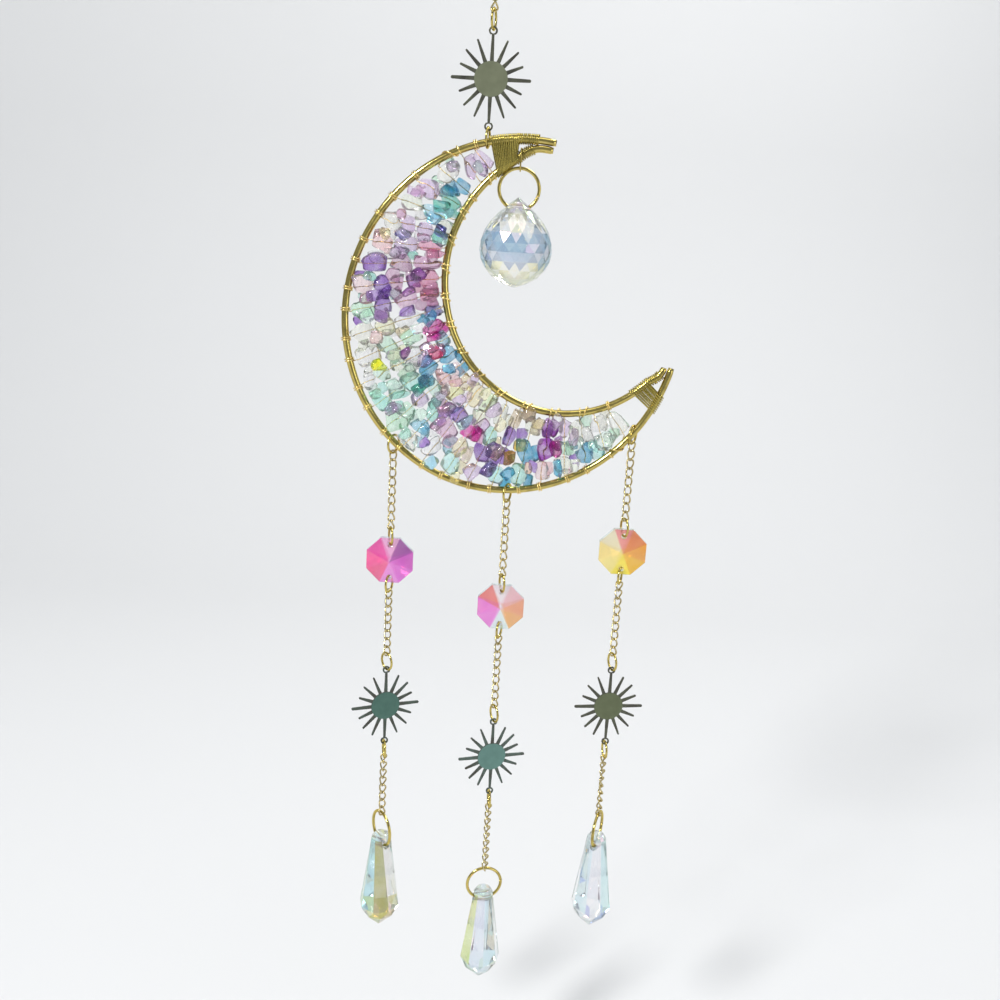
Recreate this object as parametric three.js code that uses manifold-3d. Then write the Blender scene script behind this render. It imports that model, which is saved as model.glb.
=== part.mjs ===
import * as THREE from "three";
import { ConvexGeometry } from "three/addons/geometries/ConvexGeometry.js";
import { mergeVertices } from "three/addons/utils/BufferGeometryUtils.js";
import Module from "manifold-3d";

// Crystal suncatcher, millimetres, +Z up, the front faces -Y.
// The origin is the contact point inside the top of the hanging ring.

const GAP = 0.15; // free play at each place where one loop hangs in another

// Rings
const SMALL_RING = { outer: 6, wire: 0.7, segments: 8, sides: 3 };
const LARGE_RING = { outer: 12, wire: 0.95, segments: 14, sides: 3 };

// Curb chain
const LINK_LENGTH = 3.55;
const LINK_WIDTH = 2.3;
const LINK_WIRE = 0.45;
const LINK_BITE = 0.2; // neighbouring links of one chain meet by this much

// Crescent frame of two bent wires
const FRAME_WIRE = 2.0;
const FRAME_STEP = 7.5; // degrees of arc in each straight piece of the wire
const CRESCENT_RADIUS = 48.35; // mean radius of the outer wire's centre line
const OUTER_WIRE = { scale: 1, oval: 1.048, lean: 71, from: 79.5, to: 347 };
const INNER_WIRE = { scale: 0.748, oval: 1.054, lean: 82, from: 106, to: 320.5 };
const INNER_AWAY = 0.4018; // distance between the two centres, of the crescent's radius
const INNER_BEARING = 36.84; // direction of the inner centre, degrees above level
const HANG_ANGLE = 101.4; // place on the outer wire where the crescent hangs

// Fine wire windings at the two horns
const WRAP_WIRE = 0.4;
const WRAP_CLEARANCE = 0.3;
const COIL_CORNERS = 6;
const TOP_WRAP = { outer: [99.3, 91], inner: [126.9, 118] };
const RIGHT_WRAP = { outer: [337.1, 330.2], inner: [312.5, 303.2] };
const TOP_OUTER_COIL = [92, 85];
const TOP_INNER_COIL = [119, 110];
const RIGHT_INNER_COIL = [318, 311.5];

// Bead strings laced between the two frame wires
const STRING_WIRE = 0.36;
const STRING_CLEARANCE = 0.3;
const STRING_COUNT = 12;
const SPARE_ROW_STEP = 11; // strings from one with a third row to the next
const TURN_STEP = 60; // degrees between corners of a turn round a frame wire
const END_TURN_STEPS = 4;
const ROW_OUTER = { first: 102, step: 8.64, least: 106 }; // degrees; strand rings sit between rows
const ROW_INNER = { first: 129.5, step: 6.45 };
const CHIP_LENGTH = [4.9, 7.0];
const CHIP_CORNERS = 4;
const CHIP_NECK = 0.3; // half width where two chips touch on the wire, of their half width
const CHIP_WIDTH = [5.2, 7.4];
const CHIP_DEPTH = [3.8, 5.6];
const CHIP_GAP = 0.3; // between chips of neighbouring rows
const CHIP_MARGIN = 0.15; // between a row's end chips and the turns round the frame wires
const CHIP_SEED = 20419;

// Sun connectors
const SUN_PLATE = 0.5;
const SUN_CORE = 4.5;
const SUN_RAY_ROOT = 1.25; // width of a ray where it leaves the core
const SUN_LOOP_CENTRE = 12.05;
const SUN_LOOP_OUTER = 1.2;
const SUN_LOOP_HOLE = 0.72;
const SUN_RAYS = [
  { reach: SUN_LOOP_CENTRE - 0.95, tip: 0.9 },
  { reach: 10.6, tip: 0.7 },
  { reach: 10.0, tip: 0.75 },
  { reach: 9.2, tip: 0.8 },
  { reach: 10.8, tip: 1.1 },
]; // from the vertical ray round to the level one, mirrored four ways

// Octagon crystals
const OCTAGON_ACROSS = 14;
const OCTAGON_THICK = 5.4;
const OCTAGON_EDGE = 1.5;
const OCTAGON_HOLE = 1.6;
const OCTAGON_HOLE_INSET = 1.9;

// Long faceted drops: radius and depth below the top
const DROP_SIDES = 8;
const DROP_PROFILE = [
  [2.3, 0],
  [3.1, 1.2],
  [3.6, 6.5],
  [6.5, 25.5],
  [5.3, 28.5],
];
const DROP_LENGTH = 34;
const DROP_HOLE = 2.4;
const DROP_HOLE_DEPTH = 2.9;

// Crystal ball: radius and depth below the apex of each ring of corners
const BALL_SIDES = 8;
const BALL_RINGS = [
  [2.6, 1.9],
  [6.6, 5.6],
  [9.2, 9.2],
  [10.25, 13.6],
  [9.3, 17.2],
  [6.6, 21.7],
];
const BALL_HEIGHT = 24.5;
const BALL_HOLE = 2.0;
const BALL_HOLE_DEPTH = 2.9;
const BALL_HANG_ANGLE = 115.9; // place on the inner wire where the ball hangs

const HOOK_LENGTH = 5.6; // between the two contacts inside the long loop that carries the ball ring
const HOOK_HALF_WIDTH = 2.2;

// Hanging order
const HANG_LINKS = 8;
const STRANDS = [
  { side: "left", at: 228.4, links: [9, 8, 8], sun: 22, turns: [60, 107, 73, 130, 104, 125] },
  { side: "middle", at: 271.6, links: [9, 9, 9], sun: 17, turns: [66, 106, 74, 116, 98, 12] },
  { side: "right", at: 320.6, links: [9, 9, 8], sun: 9, turns: [62, 107, 73, 112, 100, 70] },
];

const wasm = await Module();
wasm.setup();

const gold = () => new THREE.MeshStandardMaterial({ color: 0xc9a73c, roughness: 0.25, metalness: 1 });
const chainGold = () => new THREE.MeshStandardMaterial({ color: 0xb8975a, roughness: 0.3, metalness: 1 });
const darkBrass = (color) => new THREE.MeshStandardMaterial({ color, roughness: 0.3, metalness: 1 });
const crystal = (color) => new THREE.MeshStandardMaterial({ color, roughness: 0.02, metalness: 0 });
const stone = (color) => new THREE.MeshStandardMaterial({ color, roughness: 0.12, metalness: 0 });

function solid(geometry) {
  const plain = geometry.index ? geometry.toNonIndexed() : geometry.clone();
  plain.deleteAttribute("normal");
  plain.deleteAttribute("uv");
  const merged = mergeVertices(plain, 1e-4);
  return new wasm.Manifold(
    new wasm.Mesh({
      numProp: 3,
      vertProperties: merged.attributes.position.array,
      triVerts: new Uint32Array(merged.index.array),
    }),
  );
}

function geometryOf(body) {
  const mesh = body.getMesh();
  const geometry = new THREE.BufferGeometry();
  geometry.setAttribute("position", new THREE.BufferAttribute(mesh.vertProperties, 3));
  geometry.setIndex(new THREE.BufferAttribute(mesh.triVerts, 1));
  const flat = geometry.toNonIndexed();
  flat.computeVertexNormals();
  return flat;
}

function add(parent, name, body, material) {
  const mesh = new THREE.Mesh(geometryOf(body), material);
  mesh.name = name;
  parent.add(mesh);
  return mesh;
}

const radians = THREE.MathUtils.degToRad;

// Closed surface from rows of corners; each row joins the next, the last joins the first if looped.
function skin(rows, looped) {
  const size = rows[0].length;
  const index = [];
  const steps = looped ? rows.length : rows.length - 1;
  for (let i = 0; i < steps; i++) {
    const a = i * size;
    const b = ((i + 1) % rows.length) * size;
    for (let j = 0; j < size; j++) {
      const k = (j + 1) % size;
      index.push(a + j, b + j, b + k, a + j, b + k, a + k);
    }
  }
  if (!looped) {
    const last = (rows.length - 1) * size;
    for (let j = 1; j < size - 1; j++) {
      index.push(0, j, j + 1, last, last + j + 1, last + j);
    }
  }
  const geometry = new THREE.BufferGeometry();
  const corners = rows.flat().flatMap((p) => [p.x, p.y, p.z]);
  geometry.setAttribute("position", new THREE.Float32BufferAttribute(corners, 3));
  geometry.setIndex(index);
  return solid(geometry);
}

// Bent wire through the given points, open with flat ends or closed into a loop.
function wire(points, radius, sides, closed = false) {
  const middle = points.reduce((sum, p) => sum.add(p), new THREE.Vector3()).divideScalar(points.length);
  const count = points.length;
  let normal = null;
  const rows = points.map((point, i) => {
    const before = closed ? points[(i + count - 1) % count] : points[Math.max(i - 1, 0)];
    const after = closed ? points[(i + 1) % count] : points[Math.min(i + 1, count - 1)];
    const along = after.clone().sub(before).normalize();
    const seed = closed || !normal ? point.clone().sub(middle) : normal;
    normal = seed.clone().addScaledVector(along, -seed.dot(along)).normalize();
    const side = along.clone().cross(normal);
    const row = [];
    for (let j = 0; j < sides; j++) {
      const a = Math.PI - (2 * Math.PI * j) / sides;
      row.push(
        point
          .clone()
          .addScaledVector(normal, radius * Math.cos(a))
          .addScaledVector(side, radius * Math.sin(a)),
      );
    }
    return row;
  });
  return skin(rows, closed);
}

// Ring standing in the XZ plane around its own centre.
function ring({ outer, wire: thickness, segments, sides }) {
  const radius = (outer - thickness) / 2;
  const points = [];
  for (let i = 0; i < segments; i++) {
    const a = Math.PI / 2 + (2 * Math.PI * i) / segments;
    points.push(new THREE.Vector3(radius * Math.cos(a), 0, radius * Math.sin(a)));
  }
  return wire(points, thickness / 2, sides, true);
}

const ringInside = (size) => size.outer - 2 * size.wire;

// Chain of interlocked curb links, its first contact at the origin, hanging down.
const LINK_PITCH = LINK_LENGTH - 2 * LINK_WIRE;

function chain(count, turnAbove, turnBelow) {
  const end = (LINK_LENGTH - LINK_WIRE - LINK_BITE) / 2;
  const side = (LINK_WIDTH - LINK_WIRE) / 2;
  const points = [
    new THREE.Vector3(side, 0, 0),
    new THREE.Vector3(side / 2, -side / 2, end),
    new THREE.Vector3(-side / 2, side / 2, end),
    new THREE.Vector3(-side, 0, 0),
    new THREE.Vector3(-side / 2, -side / 2, -end),
    new THREE.Vector3(side / 2, side / 2, -end),
  ];
  const link = wire(points, LINK_WIRE / 2, 3, true);
  const first = turnAbove - 45;
  let twist = (turnBelow + 45 - first) % 180;
  if (twist > 90) twist -= 180;
  if (twist < -90) twist += 180;
  const links = [];
  for (let i = 0; i < count; i++) {
    const turn = first + (twist * i) / (count - 1);
    links.push(link.rotate([0, 0, turn]).translate([0, 0, -LINK_PITCH * (i + 0.5)]));
  }
  return wasm.Manifold.union(links);
}

// Flat plate of the given outline, standing in the XZ plane, centred on its thickness.
function plate(shape, thickness) {
  const geometry = new THREE.ExtrudeGeometry(shape, { depth: thickness, bevelEnabled: false });
  geometry.translate(0, 0, -thickness / 2);
  geometry.rotateX(Math.PI / 2);
  return solid(geometry);
}

// Corners of a regular polygon round a centre on the vertical axis.
function polygon(radius, sides, centre = 0) {
  return [...Array(sides).keys()].map((k) => {
    const a = (2 * Math.PI * (k + 0.5)) / sides;
    return new THREE.Vector2(radius * Math.cos(a), centre + radius * Math.sin(a));
  });
}

function sunConnector() {
  const step = Math.PI / 8;
  const outline = [];
  for (let k = 0; k < 16; k++) {
    const fromVertical = k % 8 > 4 ? 8 - (k % 8) : k % 8;
    const ray = SUN_RAYS[fromVertical];
    const corners = [
      [SUN_CORE, -SUN_RAY_ROOT / 2],
      [ray.reach, -ray.tip / 2],
    ];
    for (let i = 1; fromVertical === 0 && i <= 5; i++) {
      const turn = Math.PI * (1 + i / 3);
      corners.push([
        SUN_LOOP_CENTRE + SUN_LOOP_OUTER * Math.cos(turn),
        SUN_LOOP_OUTER * Math.sin(turn),
      ]);
    }
    corners.push([ray.reach, ray.tip / 2], [SUN_CORE, SUN_RAY_ROOT / 2]);
    const a = Math.PI / 2 + k * step;
    for (const [out, across] of corners) {
      outline.push(new THREE.Vector2(out, across).rotateAround(new THREE.Vector2(), a));
    }
  }
  const shape = new THREE.Shape(outline);
  for (const end of [1, -1]) {
    shape.holes.push(new THREE.Path(polygon(SUN_LOOP_HOLE, 6, end * SUN_LOOP_CENTRE)));
  }
  return plate(shape, SUN_PLATE);
}

const SUN_CONTACT = SUN_LOOP_CENTRE + SUN_LOOP_HOLE;

// Straight bore through a crystal, along Y at the given depth.
function bore(diameter, z) {
  const drill = new THREE.CylinderGeometry(diameter / 2, diameter / 2, 40, 8);
  drill.rotateY(Math.PI / 8);
  drill.translate(0, 0, z);
  return solid(drill);
}

// How far a ring rises from its lowest point by the time it leaves a bore.
function ringRise(size, halfDepth) {
  const radius = ringInside(size) / 2;
  return radius - Math.sqrt(radius ** 2 - halfDepth ** 2);
}

const OCTAGON_SCALE = 1 / Math.cos(Math.PI / 8);
const OCTAGON_HOLE_Z = OCTAGON_ACROSS / 2 - OCTAGON_HOLE_INSET;
const OCTAGON_CONTACT = OCTAGON_HOLE_Z + OCTAGON_HOLE / 2 - ringRise(SMALL_RING, OCTAGON_EDGE);

function octagon() {
  const corner = (OCTAGON_ACROSS / 2) * OCTAGON_SCALE;
  const profile = [
    [0, -OCTAGON_THICK / 2],
    [corner, -OCTAGON_EDGE / 2],
    [corner, OCTAGON_EDGE / 2],
    [0, OCTAGON_THICK / 2],
  ].map(([x, y]) => new THREE.Vector2(x, y));
  const crystalBody = new THREE.LatheGeometry(profile, 8);
  crystalBody.rotateY(Math.PI / 8);
  return solid(crystalBody)
    .subtract(bore(OCTAGON_HOLE, OCTAGON_HOLE_Z))
    .subtract(bore(OCTAGON_HOLE, -OCTAGON_HOLE_Z));
}

// Radius of a turned profile of [radius, depth] corners at a given depth.
function radiusAt(profile, depth) {
  let [lastRadius, lastDepth] = [0, 0];
  for (const [radius, d] of profile) {
    if (depth <= d) {
      const part = d === lastDepth ? 1 : (depth - lastDepth) / (d - lastDepth);
      return lastRadius + (radius - lastRadius) * part;
    }
    [lastRadius, lastDepth] = [radius, d];
  }
  return lastRadius;
}

// Depth below a crystal's top of the lowest point inside the large ring that carries it.
function carriedDepth(profile, hole, holeDepth) {
  const top = holeDepth - hole / 2;
  const rise = ringRise(LARGE_RING, radiusAt(profile, top));
  return top + rise + GAP;
}

const DROP_CONTACT = carriedDepth(DROP_PROFILE, DROP_HOLE, DROP_HOLE_DEPTH);
const BALL_CONTACT = carriedDepth(BALL_RINGS, BALL_HOLE, BALL_HOLE_DEPTH);

function drop() {
  const profile = [[0, 0], ...DROP_PROFILE, [0, DROP_LENGTH]];
  const points = profile.map(([r, depth]) => new THREE.Vector2(r, -depth)).reverse();
  const body = new THREE.LatheGeometry(points, DROP_SIDES);
  body.rotateX(Math.PI / 2);
  return solid(body).subtract(bore(DROP_HOLE, -DROP_HOLE_DEPTH).rotate([0, 0, 90]));
}

function ball() {
  const corners = [new THREE.Vector3(0, 0, 0), new THREE.Vector3(0, 0, -BALL_HEIGHT)];
  BALL_RINGS.forEach(([radius, depth], level) => {
    for (let k = 0; k < BALL_SIDES; k++) {
      const a = (2 * Math.PI * (k + (level % 2) / 2)) / BALL_SIDES;
      corners.push(new THREE.Vector3(radius * Math.cos(a), radius * Math.sin(a), -depth));
    }
  });
  const hole = bore(BALL_HOLE, -BALL_HOLE_DEPTH).rotate([0, 0, 90]);
  return solid(new ConvexGeometry(corners)).subtract(hole);
}

// Point on a frame wire's centre line at an angle seen from its own centre.
function onWire(arc, angle) {
  const a = radians(angle);
  const lean = a - radians(arc.lean);
  const long = Math.sqrt(arc.oval);
  const mean = arc.scale * CRESCENT_RADIUS;
  const radius = mean / Math.hypot(Math.cos(lean) / long, Math.sin(lean) * long);
  return new THREE.Vector3(arc.x + radius * Math.cos(a), 0, arc.z + radius * Math.sin(a));
}

// Unit vector along a frame wire, and the one that points away from its centre.
function wireDirection(arc, angle) {
  const along = onWire(arc, angle + 0.5).sub(onWire(arc, angle - 0.5)).normalize();
  return { along, outward: new THREE.Vector3(along.z, 0, -along.x) };
}

// Half height of a sloping frame wire, cut by a vertical plane.
function wireHalfHeight(arc, angle) {
  return FRAME_WIRE / 2 / Math.abs(wireDirection(arc, angle).along.x);
}

const suncatcher = new THREE.Group();
suncatcher.name = "crystal_suncatcher";

// Hangs a piece at a contact point and gives back the height of the contact below it.
function hang(name, body, material, x, contact, above, below, turn = 0) {
  const mesh = add(suncatcher, name, body, material);
  mesh.position.set(x, 0, contact - above + GAP);
  mesh.rotation.z = radians(turn);
  return contact + GAP - above - below;
}

function hangRing(name, size, material, x, contact, turn) {
  const half = ringInside(size) / 2;
  return hang(name, ring(size), material, x, contact, half, half, turn);
}

function hangChain(name, links, x, contact, turnAbove, turnBelow) {
  return hang(name, chain(links, turnAbove, turnBelow), chainGold(), x, contact, 0, links * LINK_PITCH);
}

let z = hangRing("hang_ring", LARGE_RING, gold(), 0, -GAP, 0);
z = hangChain("hang_chain", HANG_LINKS, 0, z, 0, 80);
z = hangRing("top_ring", SMALL_RING, gold(), 0, z, 80);
z = hang("top_sun", sunConnector(), darkBrass(0x7d8769), 0, z, SUN_CONTACT, SUN_CONTACT);
z = hangRing("moon_ring", SMALL_RING, gold(), 0, z, 82);

const outerArc = { ...OUTER_WIRE, x: 0, z: 0 };
const hangPoint = onWire(outerArc, HANG_ANGLE);
outerArc.x = -hangPoint.x;
outerArc.z = z + GAP + wireHalfHeight(outerArc, HANG_ANGLE) - hangPoint.z;
const away = INNER_AWAY * CRESCENT_RADIUS;
const innerArc = {
  ...INNER_WIRE,
  x: outerArc.x + away * Math.cos(radians(INNER_BEARING)),
  z: outerArc.z + away * Math.sin(radians(INNER_BEARING)),
};

function frameWire(arc) {
  const steps = Math.round((arc.to - arc.from) / FRAME_STEP);
  const points = [];
  for (let i = 0; i <= steps; i++) {
    points.push(onWire(arc, arc.from + ((arc.to - arc.from) * i) / steps));
  }
  return wire(points, FRAME_WIRE / 2, 5);
}

add(suncatcher, "moon_outer_wire", frameWire(outerArc), gold());
add(suncatcher, "moon_inner_wire", frameWire(innerArc), gold());

// Closely laid turns as one sleeve; each section gives its outside and inside corners.
function sleeve(sections) {
  const last = sections.length - 1;
  const rows = sections.map((s) => s.outside);
  for (let i = last; i >= 0; i--) rows.push(sections[i].inside);
  return skin(rows, true);
}

const WRAP_INSIDE = FRAME_WIRE / 2 + WRAP_CLEARANCE;
const WRAP_OUTSIDE = WRAP_INSIDE + WRAP_WIRE;

function coil(arc, [from, to]) {
  const y = new THREE.Vector3(0, 1, 0);
  const sections = [0, 1, 2].map((i) => {
    const angle = from + ((to - from) * i) / 2;
    const centre = onWire(arc, angle);
    const { outward } = wireDirection(arc, angle);
    const corners = (radius) =>
      [...Array(COIL_CORNERS).keys()].map((k) => {
        const a = (2 * Math.PI * (k + 0.5)) / COIL_CORNERS;
        return centre
          .clone()
          .addScaledVector(outward, radius * Math.cos(a))
          .addScaledVector(y, radius * Math.sin(a));
      });
    return { outside: corners(WRAP_OUTSIDE), inside: corners(WRAP_INSIDE) };
  });
  return sleeve(sections);
}

// Band of turns laid round both frame wires together.
function band(wrap) {
  const sections = [0, 1, 2].map((i) => {
    const [upper, lower] = [
      [outerArc, wrap.outer],
      [innerArc, wrap.inner],
    ].map(([arc, [from, to]]) => onWire(arc, from + ((to - from) * i) / 2));
    const away = upper.clone().sub(lower).normalize();
    const y = new THREE.Vector3(0, 1, 0);
    const corners = (radius) => {
      const list = [];
      for (const [centre, start] of [[upper, -0.5], [lower, 0.5]]) {
        for (let k = 0; k <= 4; k++) {
          const a = Math.PI * (start + k / 4);
          list.push(
            centre
              .clone()
              .addScaledVector(away, radius * Math.cos(a))
              .addScaledVector(y, radius * Math.sin(a)),
          );
        }
      }
      return list;
    };
    return { outside: corners(WRAP_OUTSIDE), inside: corners(WRAP_INSIDE) };
  });
  return sleeve(sections);
}

const topWrap = wasm.Manifold.union([
  band(TOP_WRAP),
  coil(outerArc, TOP_OUTER_COIL),
  coil(innerArc, TOP_INNER_COIL),
]);
add(suncatcher, "top_horn_wrap", topWrap, gold());
const rightWrap = wasm.Manifold.union([band(RIGHT_WRAP), coil(innerArc, RIGHT_INNER_COIL)]);
add(suncatcher, "right_horn_wrap", rightWrap, gold());

// Ball hung inside the crescent from a long loop of fine wire
const hookPoint = onWire(innerArc, BALL_HANG_ANGLE);
const hookTop = hookPoint.z + wireHalfHeight(innerArc, BALL_HANG_ANGLE) * WRAP_OUTSIDE + GAP;


function hook() {
  const radius = HOOK_HALF_WIDTH - WRAP_WIRE / 2;
  const points = polygon(radius, 12).map((p) => {
    const z = p.y > 0 ? p.y - radius : p.y + radius - HOOK_LENGTH - WRAP_WIRE;
    return new THREE.Vector3(0, p.x, z + WRAP_WIRE / 2);
  });
  return wire(points, WRAP_WIRE / 2, 3, true);
}

add(suncatcher, "ball_hook", hook(), gold()).position.set(hookPoint.x, 0, hookTop);
const hookContact = hookTop - HOOK_LENGTH;
const ballContact = hangRing("ball_ring", LARGE_RING, gold(), hookPoint.x, hookContact, 0);
hang("crystal_ball", ball(), crystal(0xe8e6c8), hookPoint.x, ballContact, -BALL_CONTACT, 0);

const octagonColours = { left: 0xf05ab4, middle: 0xeed7d2, right: 0xf3c56a };
const sunColours = { left: 0x3c695f, middle: 0x557d78, right: 0x556441 };
const dropColours = { left: 0xd2dcb4, middle: 0xe6ebdc, right: 0xd7e6e6 };

// Strand of rings, chains, octagon, sun and drop under the outer frame wire
function strand({ side, at: angle, links, sun: sunTurn, turns }) {
  const { x } = onWire(outerArc, angle);
  const half = wireHalfHeight(outerArc, angle) + GAP;
  const [frameTurn, beadTop, beadBottom, sunTop, sunBottom, dropTurn] = turns;
  let at = onWire(outerArc, angle).z + half;
  at = hangRing(side + "_frame_ring", SMALL_RING, gold(), x, at, frameTurn);
  at = hangChain(side + "_upper_chain", links[0], x, at, frameTurn, beadTop);
  at = hangRing(side + "_bead_ring_top", SMALL_RING, gold(), x, at, beadTop);
  const octagonMaterial = crystal(octagonColours[side]);
  at = hang(side + "_octagon", octagon(), octagonMaterial, x, at, OCTAGON_CONTACT, OCTAGON_CONTACT);
  at = hangRing(side + "_bead_ring_bottom", SMALL_RING, gold(), x, at, beadBottom);
  at = hangChain(side + "_middle_chain", links[1], x, at, beadBottom, sunTop);
  at = hangRing(side + "_sun_ring_top", SMALL_RING, gold(), x, at, sunTop);
  const sunMaterial = darkBrass(sunColours[side]);
  at = hang(side + "_sun", sunConnector(), sunMaterial, x, at, SUN_CONTACT, SUN_CONTACT, sunTurn);
  at = hangRing(side + "_sun_ring_bottom", SMALL_RING, gold(), x, at, sunBottom);
  at = hangChain(side + "_lower_chain", links[2], x, at, sunBottom, dropTurn);
  at = hangRing(side + "_drop_ring", LARGE_RING, gold(), x, at, dropTurn);
  hang(side + "_drop", drop(), crystal(dropColours[side]), x, at, -DROP_CONTACT, 0, dropTurn);
}

STRANDS.forEach(strand);

// Repeatable sequence of numbers from 0 to 1 for the tumbled stone chips
let state = CHIP_SEED;
function random() {
  state = (state * 16807) % 2147483647;
  return state / 2147483647;
}
const between = ([low, high]) => low + (high - low) * random();

// Where a row of the lacing leaves the outer wire and reaches the inner one.
function lacing(row) {
  return {
    outer: Math.max(ROW_OUTER.least, ROW_OUTER.first + ROW_OUTER.step * row),
    inner: ROW_INNER.first + ROW_INNER.step * row,
  };
}

const TURN_RADIUS = FRAME_WIRE / 2 + STRING_WIRE / 2 + STRING_CLEARANCE;

// Point of the fine wire on its way round a frame wire; 0 degrees faces the other frame wire.
function roundWire(arc, angle, turn, facing) {
  const { outward } = wireDirection(arc, angle);
  const a = radians(turn);
  return onWire(arc, angle)
    .addScaledVector(outward, facing * TURN_RADIUS * Math.cos(a))
    .add(new THREE.Vector3(0, -TURN_RADIUS * Math.sin(a), 0));
}

// Tumbled chips threaded tightly on one row, each touching the next on the wire.
function chipRow(row) {
  const here = lacing(row);
  const next = lacing(row + 1);
  const start = roundWire(outerArc, here.outer, 0, -1);
  const along = roundWire(innerArc, here.inner, 0, 1).sub(start);
  const length = along.length() - 2 * CHIP_MARGIN;
  along.normalize();
  start.addScaledVector(along, CHIP_MARGIN);
  const across = new THREE.Vector3(along.z, 0, -along.x);
  const [wide, narrow] = [
    [outerArc, "outer"],
    [innerArc, "inner"],
  ].map(([arc, key]) => Math.abs(onWire(arc, next[key]).sub(onWire(arc, here[key])).dot(across)));

  const count = Math.max(1, Math.round(length / between(CHIP_LENGTH)));
  const shares = [...Array(count).keys()].map(() => between(CHIP_LENGTH));
  const total = shares.reduce((sum, share) => sum + share, 0);

  const corners = (at, width, depth, low, turn) =>
    [...Array(CHIP_CORNERS).keys()].map((k) => {
      const a = turn - (2 * Math.PI * (k + 0.3 * random())) / CHIP_CORNERS;
      const r = between([low, 1]) / 2;
      return start
        .clone()
        .addScaledVector(along, at)
        .addScaledVector(across, r * width * Math.cos(a))
        .add(new THREE.Vector3(0, r * depth * Math.sin(a), 0));
    });

  const neck = CHIP_NECK * CHIP_DEPTH[0];
  const rows = [];
  let at = 0;
  for (const share of shares) {
    const size = (share * length) / total;
    const room = wide + ((narrow - wide) * (at + size / 2)) / length;
    const width = Math.min(room - CHIP_GAP, between(CHIP_WIDTH));
    const depth = between(CHIP_DEPTH);
    rows.push(corners(at, neck, neck, 1, 0));
    const turn = between([-0.5, 0.5]);
    rows.push(corners(at + size * between([0.12, 0.3]), width, depth, 0.75, turn));
    rows.push(corners(at + size * between([0.7, 0.88]), width, depth, 0.75, turn));
    at += size;
  }
  rows.push(rows[0].map((p) => p.clone().addScaledVector(along, length)));
  return skin(rows, false);
}

// Fine wire laced to and fro between the frame wires, with a row of chips on each crossing.
function beadString(first, count) {
  const points = [];
  const go = (arc, fromAngle, toAngle, from, to, facing) => {
    const steps = Math.round(Math.abs(to - from) / TURN_STEP);
    for (let i = 0; i <= steps; i++) {
      const part = i / steps;
      const turn = from + (to - from) * part;
      points.push(roundWire(arc, fromAngle + (toAngle - fromAngle) * part, turn, facing));
    }
  };
  const endTurn = END_TURN_STEPS * TURN_STEP;
  const rows = [...Array(count).keys()].map((i) => lacing(first + i));
  go(outerArc, rows[0].outer - 1, rows[0].outer, -endTurn, 0, -1);
  for (let i = 0; i < count; i++) {
    const inward = i % 2 === 0;
    const [arc, key, facing] = inward ? [innerArc, "inner", 1] : [outerArc, "outer", -1];
    const here = rows[i][key];
    if (i < count - 1) go(arc, here, rows[i + 1][key], 0, 360, facing);
    else go(arc, here, here + 1, 0, endTurn, facing);
  }
  const strung = rows.map((_, i) => chipRow(first + i));
  return wasm.Manifold.union([wire(points, STRING_WIRE / 2, 3), ...strung]);
}

const stringColours = [
  0xb9a3c9, 0x9fb6c4, 0x6d5a8e, 0xa9748c, 0x9ec4b4, 0x5fa6c4,
  0xd8c25a, 0x7a5a9e, 0xc96a7c, 0x5f8fb0, 0x7a4a86, 0xb7cdb9,
];
let firstRow = 0;
for (let i = 0; i < STRING_COUNT; i++) {
  const count = i % SPARE_ROW_STEP === 0 ? 3 : 2;
  const name = "bead_string_" + String(i + 1).padStart(2, "0");
  add(suncatcher, name, beadString(firstRow, count), stone(stringColours[i]));
  firstRow += count;
}

export default suncatcher;
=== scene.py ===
"""Crystal suncatcher: a wire crescent laced with tumbled stones, a cut ball, suns, octagons and drops."""

import math
from collections import namedtuple

import bmesh
import bpy
import numpy as np
from bpy.props import FloatProperty, FloatVectorProperty, IntProperty, PointerProperty
from mathutils import Matrix, Vector


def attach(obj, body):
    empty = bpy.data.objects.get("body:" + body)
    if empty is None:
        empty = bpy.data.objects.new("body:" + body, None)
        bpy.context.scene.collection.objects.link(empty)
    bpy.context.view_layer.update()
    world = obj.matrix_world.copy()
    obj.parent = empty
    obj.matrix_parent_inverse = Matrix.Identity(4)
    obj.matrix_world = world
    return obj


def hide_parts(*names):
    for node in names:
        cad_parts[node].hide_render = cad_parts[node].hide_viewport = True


bl_info = {
    "name": "Crystal suncatcher",
    "version": (1, 0, 0),
    "blender": (4, 5, 0),
    "location": "View3D > Sidebar > Suncatcher",
    "description": "Builds a crystal suncatcher around its packed frame",
    "category": "Object",
}

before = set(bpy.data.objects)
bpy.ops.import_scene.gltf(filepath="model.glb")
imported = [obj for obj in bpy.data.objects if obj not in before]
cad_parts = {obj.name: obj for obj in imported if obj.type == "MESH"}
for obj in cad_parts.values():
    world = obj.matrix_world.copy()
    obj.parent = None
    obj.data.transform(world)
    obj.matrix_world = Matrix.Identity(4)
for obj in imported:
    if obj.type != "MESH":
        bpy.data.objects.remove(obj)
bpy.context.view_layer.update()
MM = 0.001

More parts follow.
